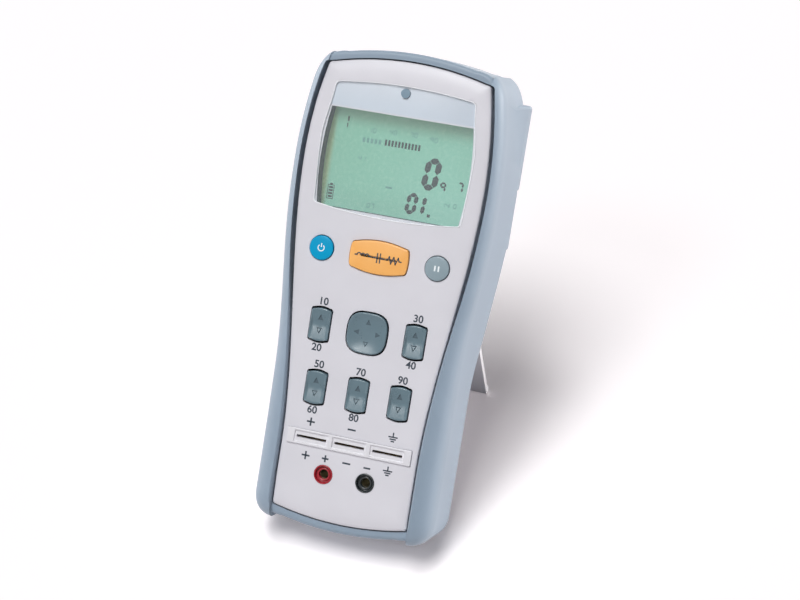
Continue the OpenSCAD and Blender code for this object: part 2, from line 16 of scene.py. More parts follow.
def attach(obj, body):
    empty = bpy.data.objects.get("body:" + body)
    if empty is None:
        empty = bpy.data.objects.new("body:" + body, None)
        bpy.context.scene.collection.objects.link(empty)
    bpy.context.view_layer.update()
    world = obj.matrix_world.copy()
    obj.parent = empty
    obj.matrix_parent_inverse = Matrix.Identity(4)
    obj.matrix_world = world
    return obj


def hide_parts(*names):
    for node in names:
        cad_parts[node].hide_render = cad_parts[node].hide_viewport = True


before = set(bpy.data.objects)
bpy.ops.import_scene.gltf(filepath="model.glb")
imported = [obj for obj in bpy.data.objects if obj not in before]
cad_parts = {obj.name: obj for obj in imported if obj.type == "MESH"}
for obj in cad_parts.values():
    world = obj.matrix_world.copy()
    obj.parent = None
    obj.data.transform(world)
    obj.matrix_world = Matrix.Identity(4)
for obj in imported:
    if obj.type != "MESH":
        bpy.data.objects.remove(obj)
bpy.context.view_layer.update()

# %% [markdown]
# ## Where the camera stands
# A product picture of a small object is taken from about a metre away with a long lens, so its
# edges stay almost parallel. We name the direction of the camera, how far away it is and what it
# looks at, and turn these into a place and a rotation.

# %% Camera
VIEW_FROM_RIGHT = math.radians(17.83)
VIEW_FROM_ABOVE = math.radians(35.8)
VIEW_DISTANCE = 0.919
VIEW_TARGET = Vector((0.0067, 0.0005, 0.0958))

camera_data = bpy.data.cameras.new("camera")
camera_data.lens = 94.5
camera_data.sensor_width = 36
camera = bpy.data.objects.new("camera", camera_data)
bpy.context.scene.collection.objects.link(camera)
toward_camera = Vector((
    math.sin(VIEW_FROM_RIGHT) * math.cos(VIEW_FROM_ABOVE),
    -math.cos(VIEW_FROM_RIGHT) * math.cos(VIEW_FROM_ABOVE),
    math.sin(VIEW_FROM_ABOVE)))
camera.location = VIEW_TARGET + toward_camera * VIEW_DISTANCE
camera.rotation_euler = toward_camera.to_track_quat("Z", "Y").to_euler()
bpy.context.scene.camera = camera
print("camera at", [round(c, 3) for c in camera.location])

# %% [markdown]
# ## The meter's own frame
# The meter leans back, but it is far easier to draw lying flat. So each piece is drawn in
# millimetres with X across the face, Y up the face and Z out of the face, where Z = 0 is the
# front of the case. One matrix then scales a piece to metres, leans it back and puts it in place.
# The origin of the flat frame lies 16.054 mm above the ground.

# %% From the flat meter to the leaning one
LEAN = math.radians(58.8)
ORIGIN_HEIGHT = 16.054
ORIGIN = Vector((0, -0.072, ORIGIN_HEIGHT / 1000))
stance = Matrix.Translation(ORIGIN) @ Matrix.Rotation(LEAN, 4, "X") @ Matrix.Scale(0.001, 4)
print("the foot of the display lies at", stance @ Vector((0, 142, 0)))

# %% [markdown]
# ## Shader maths as plain expressions
# A node tree for a finish is mostly arithmetic on numbers. We wrap a socket in a small class whose
# operators add Math nodes, so that a mask can be written as `1 - mask * 0.5`. The Finish class
# starts a material with its main shader, and its one `node` method adds any other node: the type
# comes first, then the values of its sockets, then its settings.

# %% A number that grows its own nodes
class Number:
    def __init__(self, finish, socket):
        self.finish = finish
        self.socket = socket

    def maths(self, operation, *others, clamp=False):
        values = {i: value for i, value in enumerate((self, *others))}
        return self.finish.node("ShaderNodeMath", values, operation=operation, use_clamp=clamp)

    def __add__(self, other): return self.maths("ADD", other)
    def __radd__(self, other): return self.maths("ADD", other)
    def __sub__(self, other): return self.maths("SUBTRACT", other)
    def __mul__(self, other): return self.maths("MULTIPLY", other)
    def __rmul__(self, other): return self.maths("MULTIPLY", other)
    def __rsub__(self, other):
        return self.finish.node("ShaderNodeMath", {0: other, 1: self}, operation="SUBTRACT")

    def step(self, low, high):
        """0 below low, 1 above high, and a smooth rise between them."""
        return self.finish.node(
            "ShaderNodeMapRange", {"Value": self, "From Min": low, "From Max": high},
            interpolation_type="SMOOTHSTEP")


def paint(red, green, blue):
    """A colour as it looks on a screen, 0 to 255, turned into the light it gives off."""
    levels = (level / 255 for level in (red, green, blue))
    return tuple(v / 12.92 if v <= 0.04045 else ((v + 0.055) / 1.055) ** 2.4 for v in levels) + (1.0,)


print("a middle grey of 128 gives off", round(paint(128, 128, 128)[0], 3))

# %% A material that is written line by line
class Finish:
    def __init__(self, name, slot, roughness=0.5, **constants):
        self.material = bpy.data.materials.new(name)
        self.material.use_nodes = True
        self.slot = slot
        self.tree = self.material.node_tree
        self.tree.nodes.clear()
        shader = self.tree.nodes.new("ShaderNodeBsdfPrincipled")
        output = self.tree.nodes.new("ShaderNodeOutputMaterial")
        self.tree.links.new(shader.outputs[0], output.inputs["Surface"])
        self.shader = shader
        self.plug("Roughness", roughness)
        for socket, value in constants.items():
            self.plug(socket.replace("_", " "), value)

    def plug(self, socket, value):
        self.fill(self.shader.inputs[socket], value)

    def fill(self, socket, value):
        if isinstance(value, Number):
            self.tree.links.new(value.socket, socket)
        else:
            socket.default_value = value

    def node(self, kind, values=(), output=0, **settings):
        made = self.tree.nodes.new(kind)
        for name, value in settings.items():
            setattr(made, name, value)
        for name, value in dict(values).items():
            self.fill(made.inputs[name], value)
        return Number(self, made.outputs[output])

    def blend(self, mask, plain, marked):
        """One colour where the mask is 0 and the other where it is 1."""
        return self.node("ShaderNodeMix", {0: mask, 6: plain, 7: marked}, output=2, data_type="RGBA")

    def place(self):
        """Where a point lies on the meter, in its flat frame and in metres."""
        world = self.node("ShaderNodeTexCoord", output=3)
        back = stance.to_3x3().normalized().transposed() @ -ORIGIN
        return self.node(
            "ShaderNodeMapping", {"Vector": world, "Location": back, "Rotation": (-LEAN, 0, 0)})

    def noise(self, place, size_mm, detail=2.0, roughness=0.5):
        """Soft random patches of about this size, around 0.5."""
        return self.node("ShaderNodeTexNoise", {
            "Vector": place, "Scale": 1000 / size_mm, "Detail": detail, "Roughness": roughness})

    def split(self, place):
        parts = self.tree.nodes.new("ShaderNodeSeparateXYZ")
        self.fill(parts.inputs[0], place)
        return [Number(self, socket) for socket in parts.outputs]

    def bump(self, height, depth_mm):
        self.plug("Normal", self.node("ShaderNodeBump", {
            "Height": height, "Distance": depth_mm / 1000, "Strength": 1.0}))


print("shader helpers ready")

# %% [markdown]
# ## Moulded finishes
# Injection moulded plastic is never one flat colour. Its skin carries a spark-eroded grain of a
# few tenths of a millimetre, the colour drifts a little where the melt flowed, and hands polish
# the raised places. One recipe makes all the moulded parts: two shades drift into each other,
# roughness drifts with them, and a fine noise lifts the skin.

# %% The moulded skin
def moulded(name, slot, light, dark, roughness, grain_mm=0.35, grain_depth=0.012, drift_mm=22, **more):
    finish = Finish(name, slot, **more)
    place = finish.place()
    drift = finish.noise(place, drift_mm, 3).step(0.3, 0.7)
    speck = finish.noise(place, grain_mm * 2.5, 2)
    finish.plug("Base Color", finish.blend(drift * 0.7 + speck * 0.3, dark, light))
    finish.plug("Roughness", roughness + (drift - 0.5) * 0.06 + (speck - 0.5) * 0.08)
    finish.bump(finish.noise(place, grain_mm, 2, 0.6), grain_depth)
    return finish


BOOT_SKIN = moulded("boot rubber", "boot_rubber", paint(132, 149, 166), paint(125, 142, 159), 0.58,
                    grain_mm=0.5, grain_depth=0.02, Coat_Weight=0.6, Coat_Roughness=0.5,
                    Sheen_Weight=0.25, Sheen_Roughness=0.4)
CASE_SKIN = moulded("case plastic", "case_white", paint(217, 216, 223), paint(212, 211, 218), 0.42)
SOCKET_SKIN = moulded("bright plastic", "socket_white", paint(224, 223, 228), paint(218, 217, 223), 0.38)
STAND_SKIN = moulded("stand plastic", "stand_white", paint(226, 225, 229), paint(220, 219, 224), 0.45)
KEY_SKIN = moulded("key plastic", "key_teal", paint(92, 116, 127), paint(84, 108, 119), 0.3,
                   grain_mm=0.25, grain_depth=0.006, drift_mm=9, Coat_Weight=0.45, Coat_Roughness=0.26)
BLUE_SKIN = moulded("blue plastic", "button_blue", paint(0, 160, 206), paint(0, 152, 199), 0.34,
                    grain_mm=0.25, grain_depth=0.006, drift_mm=8, Specular_IOR_Level=0.2)
ORANGE_SKIN = moulded("orange plastic", "button_orange", paint(246, 182, 104), paint(243, 175, 92), 0.36,
                      grain_mm=0.25, grain_depth=0.006, drift_mm=10)
GREY_SKIN = moulded("grey plastic", "button_grey", paint(142, 160, 169), paint(134, 152, 161), 0.34,
                    grain_mm=0.25, grain_depth=0.006, drift_mm=8)
FRAME_SKIN = moulded("dark frame plastic", "frame_dark", paint(44, 54, 64), paint(38, 47, 57), 0.5)
RED_SKIN = moulded("red plastic", "jack_red", paint(172, 34, 50), paint(158, 28, 43), 0.24,
                   grain_mm=0.3, grain_depth=0.004, drift_mm=6)
BLACK_SKIN = moulded("black plastic", "jack_black", paint(34, 42, 46), paint(26, 33, 37), 0.26,
                     grain_mm=0.3, grain_depth=0.004, drift_mm=6)
CHIP_SKIN = moulded("chip epoxy", "chip_black", paint(34, 34, 37), paint(26, 26, 29), 0.6, drift_mm=3)
MAT_SKIN = moulded("silicone rubber", "mat_grey", paint(70, 74, 76), paint(62, 66, 68), 0.62, drift_mm=8)
# The window's rim is painted paler than the face, as a painted highlight along its bevel.
RIM_HIGHLIGHT_SKIN = moulded("window edge painted highlight", "window_clear", paint(238, 239, 244), paint(232, 234, 240), 0.25)
PALE_SKIN = moulded("light plate", "reflector_pale", paint(214, 220, 200), paint(206, 213, 190), 0.6)
print("moulded finishes ready")

# %% [markdown]
# ## Metals, the board, the display and the inks
# Turned and stamped metal shows fine tool marks, so its roughness is streaked along one
# direction. The display is a sandwich whose grey-green is painted paler toward the lower right, as
# painted light let in at its edges, and paler along its top, as painted light over the frame's shade.
# It also gives off a faint painted glow that lifts its shade. Inks are flat prints with a faint mottle.

# %% The other finishes
def metal(name, slot, light, dark, roughness):
    finish = Finish(name, slot, Metallic=1.0)
    place = finish.place()
    streaks = finish.noise(finish.node("ShaderNodeMapping", {"Vector": place, "Scale": (1, 1, 9)}), 1.2, 3)
    finish.plug("Base Color", finish.blend(streaks, dark, light))
    finish.plug("Roughness", roughness + (streaks - 0.5) * 0.18)
    finish.bump(streaks, 0.006)
    return finish


def ink(name, slot, colour, worn, roughness=0.45):
    finish = Finish(name, slot, roughness)
    mottle = finish.noise(finish.place(), 0.8, 2).step(0.35, 0.75)
    finish.plug("Base Color", finish.blend(mottle, colour, worn))
    return finish


STEEL = metal("zinc plated steel", "steel", paint(206, 206, 210), paint(176, 176, 182), 0.34)
NICKEL = metal("nickel plated brass", "sleeve_nickel", paint(196, 190, 168), paint(150, 142, 120), 0.3)
GOLD = metal("gold plated spring", "contact_gold", paint(226, 196, 128), paint(196, 160, 92), 0.28)
DARK_INK = ink("dark blue print", "case_white", paint(38, 48, 60), paint(46, 57, 70))
WHITE_INK = ink("white print", "button_blue", paint(244, 248, 250), paint(232, 240, 244))
ARROW_DARK = ink("darker arrow plates", "key_teal", paint(62, 80, 90), paint(70, 88, 98))

board = Finish("circuit board", "board_green", 0.35)
place = board.place()
weave = board.node("ShaderNodeTexWave", {"Vector": place, "Scale": 900, "Distortion": 1.5})
tracks = board.node("ShaderNodeTexVoronoi", {"Vector": place, "Scale": 320}, feature="DISTANCE_TO_EDGE")
copper = 1 - tracks.step(0.02, 0.06)
board.plug("Base Color", board.blend(copper * 0.6 + weave * 0.1, paint(18, 82, 46), paint(46, 122, 74)))
board.bump(copper, 0.03)

battery_can = Finish("battery jacket", "battery_black", 0.3, Metallic=0.6)
place = battery_can.place()
across = battery_can.split(place)[0]
collar = across.step(0.0085, 0.0088)
scuffs = battery_can.noise(place, 3, 4).step(0.45, 0.8)
jacket = battery_can.blend(collar, paint(40, 42, 50), paint(186, 150, 84))
battery_can.plug("Base Color", battery_can.blend(scuffs * 0.15, jacket, paint(150, 150, 152)))
battery_can.plug("Roughness", 0.28 + scuffs * 0.12)
print("metals, board, battery and inks ready")

# %% The display's colour, with painted light and a painted glow
# Places on the display are in metres, across the face from its middle and up it from its foot
cell = Finish("display cell", "lcd_green", 0.22)
place = cell.place()
across, up, _ = cell.split(place)
# Painted light: the cell is painted paler toward the lower right, where its edges let light in.
to_lower_right = across * 9 + 0.35 + (0.17 - up) * 14
painted_glow = (to_lower_right + (cell.noise(place, 26, 2) * 0.5 - 0.25)).step(0.0, 1.1)
green = cell.blend(painted_glow, paint(122, 178, 155), paint(138, 191, 174))
left_edge = 1 - (across + 0.0322).step(0.0, 0.003)
green = cell.blend(left_edge * 0.8, green, paint(142, 134, 72))
# Painted light: the top is painted paler, to lift the shade that the frame casts on it.
top = (up - 0.176).step(0.0, 0.012)
cell.plug("Base Color", cell.blend(top * 0.4, green, paint(182, 200, 150)))
cell.plug("Roughness", 0.24 + cell.noise(place, 1.5, 2) * 0.06)
# Painted glow: the cell gives off a faint light in its own colours, which lifts its shade.
cell.plug("Emission Color", cell.blend(painted_glow, paint(120, 182, 158), paint(142, 202, 186)))
cell.plug("Emission Strength", 0.17)

SEGMENT_INK = ink("lit segments", "lcd_green", paint(34, 50, 52), paint(42, 60, 60), 0.3)
GHOST_INK = ink("resting segments", "lcd_green", paint(128, 186, 166), paint(132, 190, 170), 0.3)
FAINT_INK = ink("faint segments", "lcd_green", paint(96, 150, 142), paint(104, 158, 148), 0.3)

acrylic = Finish("clear acrylic", "window_clear", 0.06, Alpha=0.07)
haze = acrylic.noise(acrylic.place(), 12, 3)
acrylic.plug("Base Color", acrylic.blend(haze, paint(236, 242, 246), paint(226, 234, 240)))
acrylic.plug("Roughness", 0.05 + haze * 0.05)

head_print_and_shade = Finish("window print and painted shade", "window_clear", 0.2)
place = head_print_and_shade.place()
across, up, _ = head_print_and_shade.split(place)
head = (up - 0.1850).step(0.0, 0.0012)
sky = head_print_and_shade.blend((up - 0.186).step(0.0, 0.013), paint(208, 218, 229), paint(218, 225, 234))
# Painted shade: the panel is painted darker toward its right.
sky = head_print_and_shade.blend(across.step(0.004, 0.036) * 0.6, sky, paint(186, 196, 209))
print_mottle = head_print_and_shade.noise(place, 9, 3).step(0.3, 0.7)
border = head_print_and_shade.blend(print_mottle, paint(215, 216, 223), paint(219, 220, 227))
head_print_and_shade.plug("Base Color", head_print_and_shade.blend(head, border, sky))
head_print_and_shade.plug("Roughness", 0.2 + print_mottle * 0.05)

lens = Finish("smoked lens", "lens_grey", 0.12)
smoke = lens.noise(lens.place(), 1.5, 3)
lens.plug("Base Color", lens.blend(smoke, paint(116, 140, 158), paint(136, 158, 174)))
print("display, window and lens ready")

# %% [markdown]
# ## Dressing the solids that keep their shape
# Parts inside the case, and small turned or stamped parts, are already right in the construction
# model. They only need their finish, so we hand one to each of them.

# %% Finishes for the solids that stay
def dress(node, finish):
    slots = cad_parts[node].data.materials
    slots.clear()
    slots.append(finish.material)


KEPT = {
    "status_lens": lens, "display_frame": FRAME_SKIN, "display_glass": cell,
    "display_reflector": PALE_SKIN, "main_board": board, "board_chips": CHIP_SKIN,
    "buzzer": CHIP_SKIN, "keypad_mat": MAT_SKIN, "pad_gimbal": FRAME_SKIN, "socket_contacts": GOLD,
    "jack_sleeves": NICKEL, "battery": battery_can, "battery_contacts": GOLD, "door_screw": STEEL,
    "case_screws": STEEL, "board_screws": STEEL, "hinge_pin": STEEL,
}
for node, finish in KEPT.items():
    dress(node, finish)
print(len(KEPT), "solids dressed")

# %% [markdown]
# ## Outlines
# The case and the boot share one kind of outline: narrow at the bottom, flaring softly toward the
# display, with arched ends and round corners. It is written as half widths at each height, so any
# outline can be drawn tighter or wider. A quadratic curve turns each corner.

# %% Half widths
def ease(t):
    t = min(max(t, 0), 1)
    return t * t * (3 - 2 * t)


def taper(v):
    """How far both outlines draw in beside the upper half of the display."""
    return 0.0025 * max(0, v - 160) ** 2


def case_half(v):
    return 30.7 + 10 * ease((v - 37) / 123) - taper(v)


def boot_half(v):
    return 41 + 5.1 * ease((v - 72) / 78) - taper(v)


for v in (20, 100, 180):
    print("at", v, "mm the case is", round(2 * case_half(v), 1), "wide, the boot", round(2 * boot_half(v), 1))

# %% Rounded outlines
CASE_LOW, CASE_HIGH, CASE_CORNER = 6.3, 208.2, 1.6
BOOT_LOW, BOOT_HIGH, BOOT_CORNER, BOOT_LOW_CORNER = 2, 212.3, 13, 11
END_CURVE = 0.0038
CREST = 3.1
NOSE, LOW_NOSE = 1.2, 2.6


def bend(a, k, b, turns):
    """Points from a to b on a curve that is pulled toward k."""
    steps = [n / turns for n in range(turns + 1)]
    return [Vector(a) * (1 - t) ** 2 + Vector(k) * 2 * t * (1 - t) + Vector(b) * t * t for t in steps]


def outline(half, low, high, curve, corner, ends=10, turns=12, sides=40, low_corner=None):
    """Closed outline, anticlockwise from the middle of its low end."""
    low_corner = low_corner or corner
    u0, u1 = half(low + low_corner) - low_corner, half(high - corner) - corner
    v0, v1 = low + curve * u0 * u0, high - curve * u1 * u1
    shares = [n / ends for n in range(ends)]
    right = [Vector((u0 * s, low + curve * (u0 * s) ** 2)) for s in shares]
    right += bend((u0, v0), (half(v0), v0), (half(v0 + low_corner), v0 + low_corner), turns)
    rise = (v1 - v0 - corner - low_corner) / sides
    right += [Vector((half(v0 + low_corner + rise * n), v0 + low_corner + rise * n)) for n in range(1, sides)]
    right += bend((half(v1 - corner), v1 - corner), (half(v1), v1), (u1, v1), turns)
    right += [Vector((u1 * s, high - curve * (u1 * s) ** 2)) for s in reversed(shares)]
    left = [Vector((-p.x, p.y)) for p in reversed(right[1:-1])]
    return right + left


def case_outline(inset, **counts):
    return outline(lambda v: case_half(v) - inset, CASE_LOW + inset, CASE_HIGH - inset,
                   END_CURVE, CASE_CORNER, **counts)


def boot_outline(shrink, inset, reach, low_reach=None, **counts):
    """Outline of the boot. A shrink of 1 draws its sides in to the crest beside the case."""
    low_reach = reach if low_reach is None else low_reach
    return outline(
        lambda v: boot_half(v) - inset - shrink * (boot_half(v) - case_half(v) - CREST),
        BOOT_LOW + inset - low_reach, BOOT_HIGH - inset + reach, END_CURVE, BOOT_CORNER, **counts)


def flared_outline(inset, **counts):
    """Back outline of the rails: their sides flare beside the upper keys and the display."""
    return outline(lambda v: boot_half(v) - inset + 1.2 * ease((v - 65) / 35),
                   BOOT_LOW + inset - LOW_NOSE, BOOT_HIGH - inset + NOSE,
                   END_CURVE, BOOT_CORNER, low_corner=BOOT_LOW_CORNER, **counts)


print("the case's outline has", len(case_outline(0)), "corners")

# %% [markdown]
# ## Building skins from rings
# Most pieces here are stacks of outlines, as if sliced. A first ring of vertices is joined by
# edges, and each further ring is an extrusion of the last whose corners are then put in place.
# That keeps the faces in neat rows, which shade and bevel well. Cuts come from Boolean modifiers,
# and sharp rims are then rounded, because no moulded edge is truly sharp.

# %% Rings, lofts and slabs
def at(height, points):
    return [Vector((p.x, p.y, height)) for p in points]


def first_ring(bm, places):
    corners = [bm.verts.new(p) for p in places]
    edges = [bm.edges.new((corners[i - 1], corners[i])) for i in range(len(corners))]
    return corners, edges


def next_ring(bm, corners, edges, places):
    """Extrudes a ring of edges and puts the new corners in their places."""
    made = bmesh.ops.extrude_edge_only(bm, edges=edges)["geom"]
    order = {corner: i for i, corner in enumerate(corners)}
    new = [None] * len(corners)
    for corner in (g for g in made if isinstance(g, bmesh.types.BMVert)):
        for edge in corner.link_edges:
            if edge.other_vert(corner) in order:
                new[order[edge.other_vert(corner)]] = corner
    for corner, place in zip(new, places):
        corner.co = place
    return new, [bm.edges.get((new[i - 1], new[i])) for i in range(len(new))]


def loft(rings, caps=(True, True)):
    bm = bmesh.new()
    corners, edges = first_ring(bm, rings[0])
    if caps[0]:
        bmesh.ops.contextual_create(bm, geom=edges)
    for places in rings[1:]:
        corners, edges = next_ring(bm, corners, edges, places)
    if caps[1]:
        bmesh.ops.contextual_create(bm, geom=edges)
    bmesh.ops.recalc_face_normals(bm, faces=bm.faces)
    return bm


def slab(points, low, high):
    return loft([at(low, points), at(high, points)])


def block(a, b, rounding=0.0, segments=2):
    """Box between two corners, with every edge rounded."""
    a, b = Vector(a), Vector(b)
    bm = bmesh.new()
    bmesh.ops.create_cube(bm, size=1)
    bmesh.ops.scale(bm, vec=b - a, verts=bm.verts)
    bmesh.ops.translate(bm, vec=(a + b) / 2, verts=bm.verts)
    if rounding:
        bmesh.ops.bevel(bm, geom=bm.edges[:], offset=rounding, offset_type="OFFSET",
                        segments=segments, profile=0.5, affect="EDGES", material=-1, clamp_overlap=True)
    return bm


def post(u, v, r, low, high, around=48):
    bm = bmesh.new()
    bmesh.ops.create_cone(bm, cap_ends=True, segments=around, radius1=r, radius2=r, depth=high - low)
    bmesh.ops.translate(bm, vec=(u, v, (low + high) / 2), verts=bm.verts)
    return bm


def bar(u0, u1, v, z, r, around=40):
    """Round bar along X."""
    bm = post(0, 0, r, u0, u1, around)
    bmesh.ops.transform(bm, matrix=Matrix.Translation((0, v, z)) @ Matrix.Rotation(math.pi / 2, 4, "Y"),
                        verts=bm.verts)
    return bm


def turned(profile, u=0.0, v=0.0, around=64):
    """Spins a profile of (radius, height) points about an axis along Z."""
    bm = bmesh.new()
    corners = [bm.verts.new((r, 0, z)) for r, z in profile]
    edges = [bm.edges.new(pair) for pair in zip(corners, corners[1:])]
    bmesh.ops.spin(bm, geom=corners + edges, cent=(0, 0, 0), axis=(0, 0, 1), dvec=(0, 0, 0),
                   angle=2 * math.pi, steps=around, use_merge=True, use_duplicate=False)
    bmesh.ops.remove_doubles(bm, verts=bm.verts, dist=1e-4)
    bmesh.ops.recalc_face_normals(bm, faces=bm.faces)
    bmesh.ops.translate(bm, vec=(u, v, 0), verts=bm.verts)
    return bm


print("shape helpers ready")

# %% Cutting, joining and rounding
def as_object(bm, name="work"):
    mesh = bpy.data.meshes.new(name)
    bm.to_mesh(mesh)
    bm.free()
    thing = bpy.data.objects.new(name, mesh)
    bpy.context.scene.collection.objects.link(thing)
    return thing


def merged(bms):
    """Several meshes as one, without joining what they share."""
    whole = bmesh.new()
    for bm in bms:
        mesh = bpy.data.meshes.new("part")
        bm.to_mesh(mesh)
        bm.free()
        whole.from_mesh(mesh)
        bpy.data.meshes.remove(mesh)
    return whole


def combine(bm, *steps):
    """Runs Boolean steps, each ("DIFFERENCE" or "UNION", mesh), and gives the mesh that is left."""
    base = as_object(bm)
    tools = []
    for operation, tool in steps:
        tools.append(as_object(tool))
        modifier = base.modifiers.new(operation, "BOOLEAN")
        modifier.operation = operation
        modifier.object = tools[-1]
        modifier.solver = "EXACT"
    bpy.context.view_layer.update()
    mesh = bpy.data.meshes.new_from_object(base.evaluated_get(bpy.context.evaluated_depsgraph_get()))
    for thing in [base] + tools:
        bpy.data.objects.remove(thing)
    whole = bmesh.new()
    whole.from_mesh(mesh)
    bpy.data.meshes.remove(mesh)
    return whole


def sharp_rims(bm, keep, angle=35):
    """Edges that stick out sharply and whose middle passes the test."""
    limit = math.radians(angle)
    return [e for e in bm.edges
            if len(e.link_faces) == 2 and e.calc_face_angle_signed(0) > limit
            and keep((e.verts[0].co + e.verts[1].co) / 2)]


def round_rims(bm, offset, keep=lambda p: True, segments=2, angle=35):
    edges = sharp_rims(bm, keep, angle)
    bmesh.ops.bevel(bm, geom=edges, offset=offset, offset_type="OFFSET", segments=segments,
                    profile=0.5, affect="EDGES", material=-1, clamp_overlap=True)
    return len(edges)


def piece(name, bm, finish, body="meter", stands_for=(), smooth=32):
    """Turns a flat-frame mesh into a finished piece in its real place."""
    bmesh.ops.transform(bm, matrix=stance, verts=bm.verts)
    made = as_object(bm, name)
    made.data.shade_smooth()
    made.data.set_sharp_from_angle(angle=math.radians(smooth))
    made.data.materials.append(finish.material)
    even = made.modifiers.new("even shading", "WEIGHTED_NORMAL")
    even.keep_sharp, even.weight = True, 100
    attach(made, body)
    if stands_for:
        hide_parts(*stands_for)
    print(f"{name}: {len(made.data.polygons)} faces")
    return made


# %% [markdown]
# ## The boot
# A rubber boot is one moulding: a tub that holds the case, thick side rails that round over beside
# the face and end in noses at the corners, lower bands across the two ends, and a raised plate with
# grip grooves on the back. We loft the tub and the rails apart, because their fronts lie at
# different heights, and cut the rails off at the noses. The upright edges of each nose get a wide
# bevel and its other edges a narrow one, as on soft rubber. Then everything is joined, and the
# hollow, the window for the folded kickstand, the two probe channels and the grooves are cut out.

# %% Boot: rails and tub
BOOT_BACK, BACK_ROUND, CASE_BACK = -38, 3, -34.6
RAIL_TOP, RAIL_ROUND, CREST_ROUND, END_ROUND = 1.5, 12.5, 6.0, 8.5
BOOT_COUNTS = dict(ends=16, turns=18, sides=56)
CASE_COUNTS = dict(ends=16, turns=12, sides=60)


def back_rings(outline_at):
    """The rounded back edge, from the flat back to the straight side."""
    turns = [math.radians(a) for a in range(0, 91, 10)]
    return [at(BOOT_BACK + BACK_ROUND * (1 - math.cos(a)), outline_at(BACK_ROUND * (1 - math.sin(a))))
            for a in turns]


def drawn_in(height, radius):
    """How far an edge of this radius has turned inward at a height below the crest."""
    over = max(0, height + radius - RAIL_TOP)
    return radius - math.sqrt(radius ** 2 - over ** 2)


def rail_ring(a):
    """One outline of the rails, whose ends round over more than their sides."""
    height = RAIL_TOP - RAIL_ROUND * (1 - math.sin(a))
    inset, end = drawn_in(height, CREST_ROUND), drawn_in(height, END_ROUND)
    return at(height, boot_outline(1 - math.cos(a), inset, NOSE + inset - end, LOW_NOSE + inset - end,
                                   low_corner=BOOT_LOW_CORNER, **BOOT_COUNTS))


RAIL_TURNS = (0, 6, 12, 18, 24, 30, 36, 42, 48, 54, 60, 65, 70, 75, 80, 85, 90)
NOSE_LOW, NOSE_HIGH = 31.3, 36.3
rails = loft(back_rings(lambda inset: flared_outline(inset, **BOOT_COUNTS))
             + [rail_ring(math.radians(a)) for a in RAIL_TURNS])
rails = combine(rails, ("DIFFERENCE", block((-NOSE_LOW, -5, -39.5), (NOSE_LOW, 16, 4))),
                ("DIFFERENCE", block((-NOSE_HIGH, 200, -39.5), (NOSE_HIGH, 222, 4))))


def on_nose(p):
    """Whether a point lies on the cut face of one of the four noses."""
    return -33 < p.z and ((p.y < 16.5 and abs(abs(p.x) - NOSE_LOW) < 0.02)
                          or (p.y > 199.5 and abs(abs(p.x) - NOSE_HIGH) < 0.02))


def upright(e):
    return abs(e.verts[0].co.z - e.verts[1].co.z) > 0.6 * e.calc_length()


nose_ends = [e for e in sharp_rims(rails, on_nose, 30) if upright(e)]
bmesh.ops.bevel(rails, geom=nose_ends, offset=3.3, offset_type="OFFSET", segments=7, profile=0.5,
                affect="EDGES", material=-1, clamp_overlap=True)
nose_edges = len(nose_ends) + round_rims(rails, 0.9, on_nose, segments=4)
tub = loft(back_rings(lambda inset: boot_outline(0.3, inset, 0, **BOOT_COUNTS)) + [
    at(-2.3 - 1.9 * (1 - math.sin(a)), boot_outline(0.3, 1.9 * (1 - math.cos(a)), 0, **BOOT_COUNTS))
    for a in (math.radians(d) for d in (0, 18, 36, 54, 72, 90))])
print(nose_edges, "nose edges rounded")

# %% Boot: back plate, hollow and windows
PLATE_BACK, PLATE_FRONT = -42, -34
FACE_GAP = 0.62


def wedge(half, low, high):
    """Block whose sides and upper end slope back into the boot in front of the plate."""
    levels = [(PLATE_BACK, half, low, high), (PLATE_FRONT, half, low, high), (-20, half - 4.6, low, high - 2)]
    bm = loft([at(z, [Vector((w, v0)), Vector((w, v1)), Vector((-w, v1)), Vector((-w, v0))])
               for z, w, v0, v1 in levels])
    round_rims(bm, 1.5, segments=4, angle=30)
    return bm


def rim_ring(a):
    """The inner rim of the rails, rounded from the gap beside the face up to the crest."""
    def widening(v):
        return FACE_GAP + 1.1 * ease((v - 84) / 44)
    points = outline(lambda v: case_half(v) + widening(v) + (CREST - widening(v)) * (1 - math.cos(a)),
                     CASE_LOW - FACE_GAP, CASE_HIGH + FACE_GAP, END_CURVE, CASE_CORNER, **CASE_COUNTS)
    return [Vector((p.x, p.y, RAIL_TOP - (CREST - widening(p.y)) * (1 - math.sin(a)))) for p in points]


def probe_channel(u):
    """Round channel along the back plate, in which a test probe can rest."""
    channel = bar(0, 66.2, 0, 0, 4.2, 48)
    bmesh.ops.transform(channel, verts=channel.verts, matrix=Matrix.Translation((u, 133, PLATE_BACK))
                        @ Matrix.Rotation(math.pi / 2, 4, "Z"))
    return channel


plate = combine(wedge(46.4, 134, 161), ("UNION", wedge(46.9, 160.5, 198.2)))
inner_rim = [rim_ring(math.radians(a)) for a in (*range(0, 90, 11), 90)]
boot = combine(
    tub, ("UNION", rails), ("UNION", plate),
    ("DIFFERENCE", slab(case_outline(-0.6, **CASE_COUNTS), CASE_BACK - 0.2, 6)),
    ("DIFFERENCE", loft([at(-10, inner_rim[0]), *inner_rim, at(6, inner_rim[-1])])),
    ("DIFFERENCE", block((-31.2, 9, -45), (31.2, 130, CASE_BACK), 1.2, 3)),
    ("DIFFERENCE", block((-34.6, 119, -45), (34.6, 130, CASE_BACK))),
    ("DIFFERENCE", probe_channel(-31)), ("DIFFERENCE", probe_channel(31)))
heel = block((-60, -60, -ORIGIN_HEIGHT - 20), (60, 160, -ORIGIN_HEIGHT))
bmesh.ops.rotate(heel, matrix=Matrix.Rotation(-LEAN, 3, "X"), cent=(0, 0, 0), verts=heel.verts)
boot = combine(boot, ("DIFFERENCE", heel))
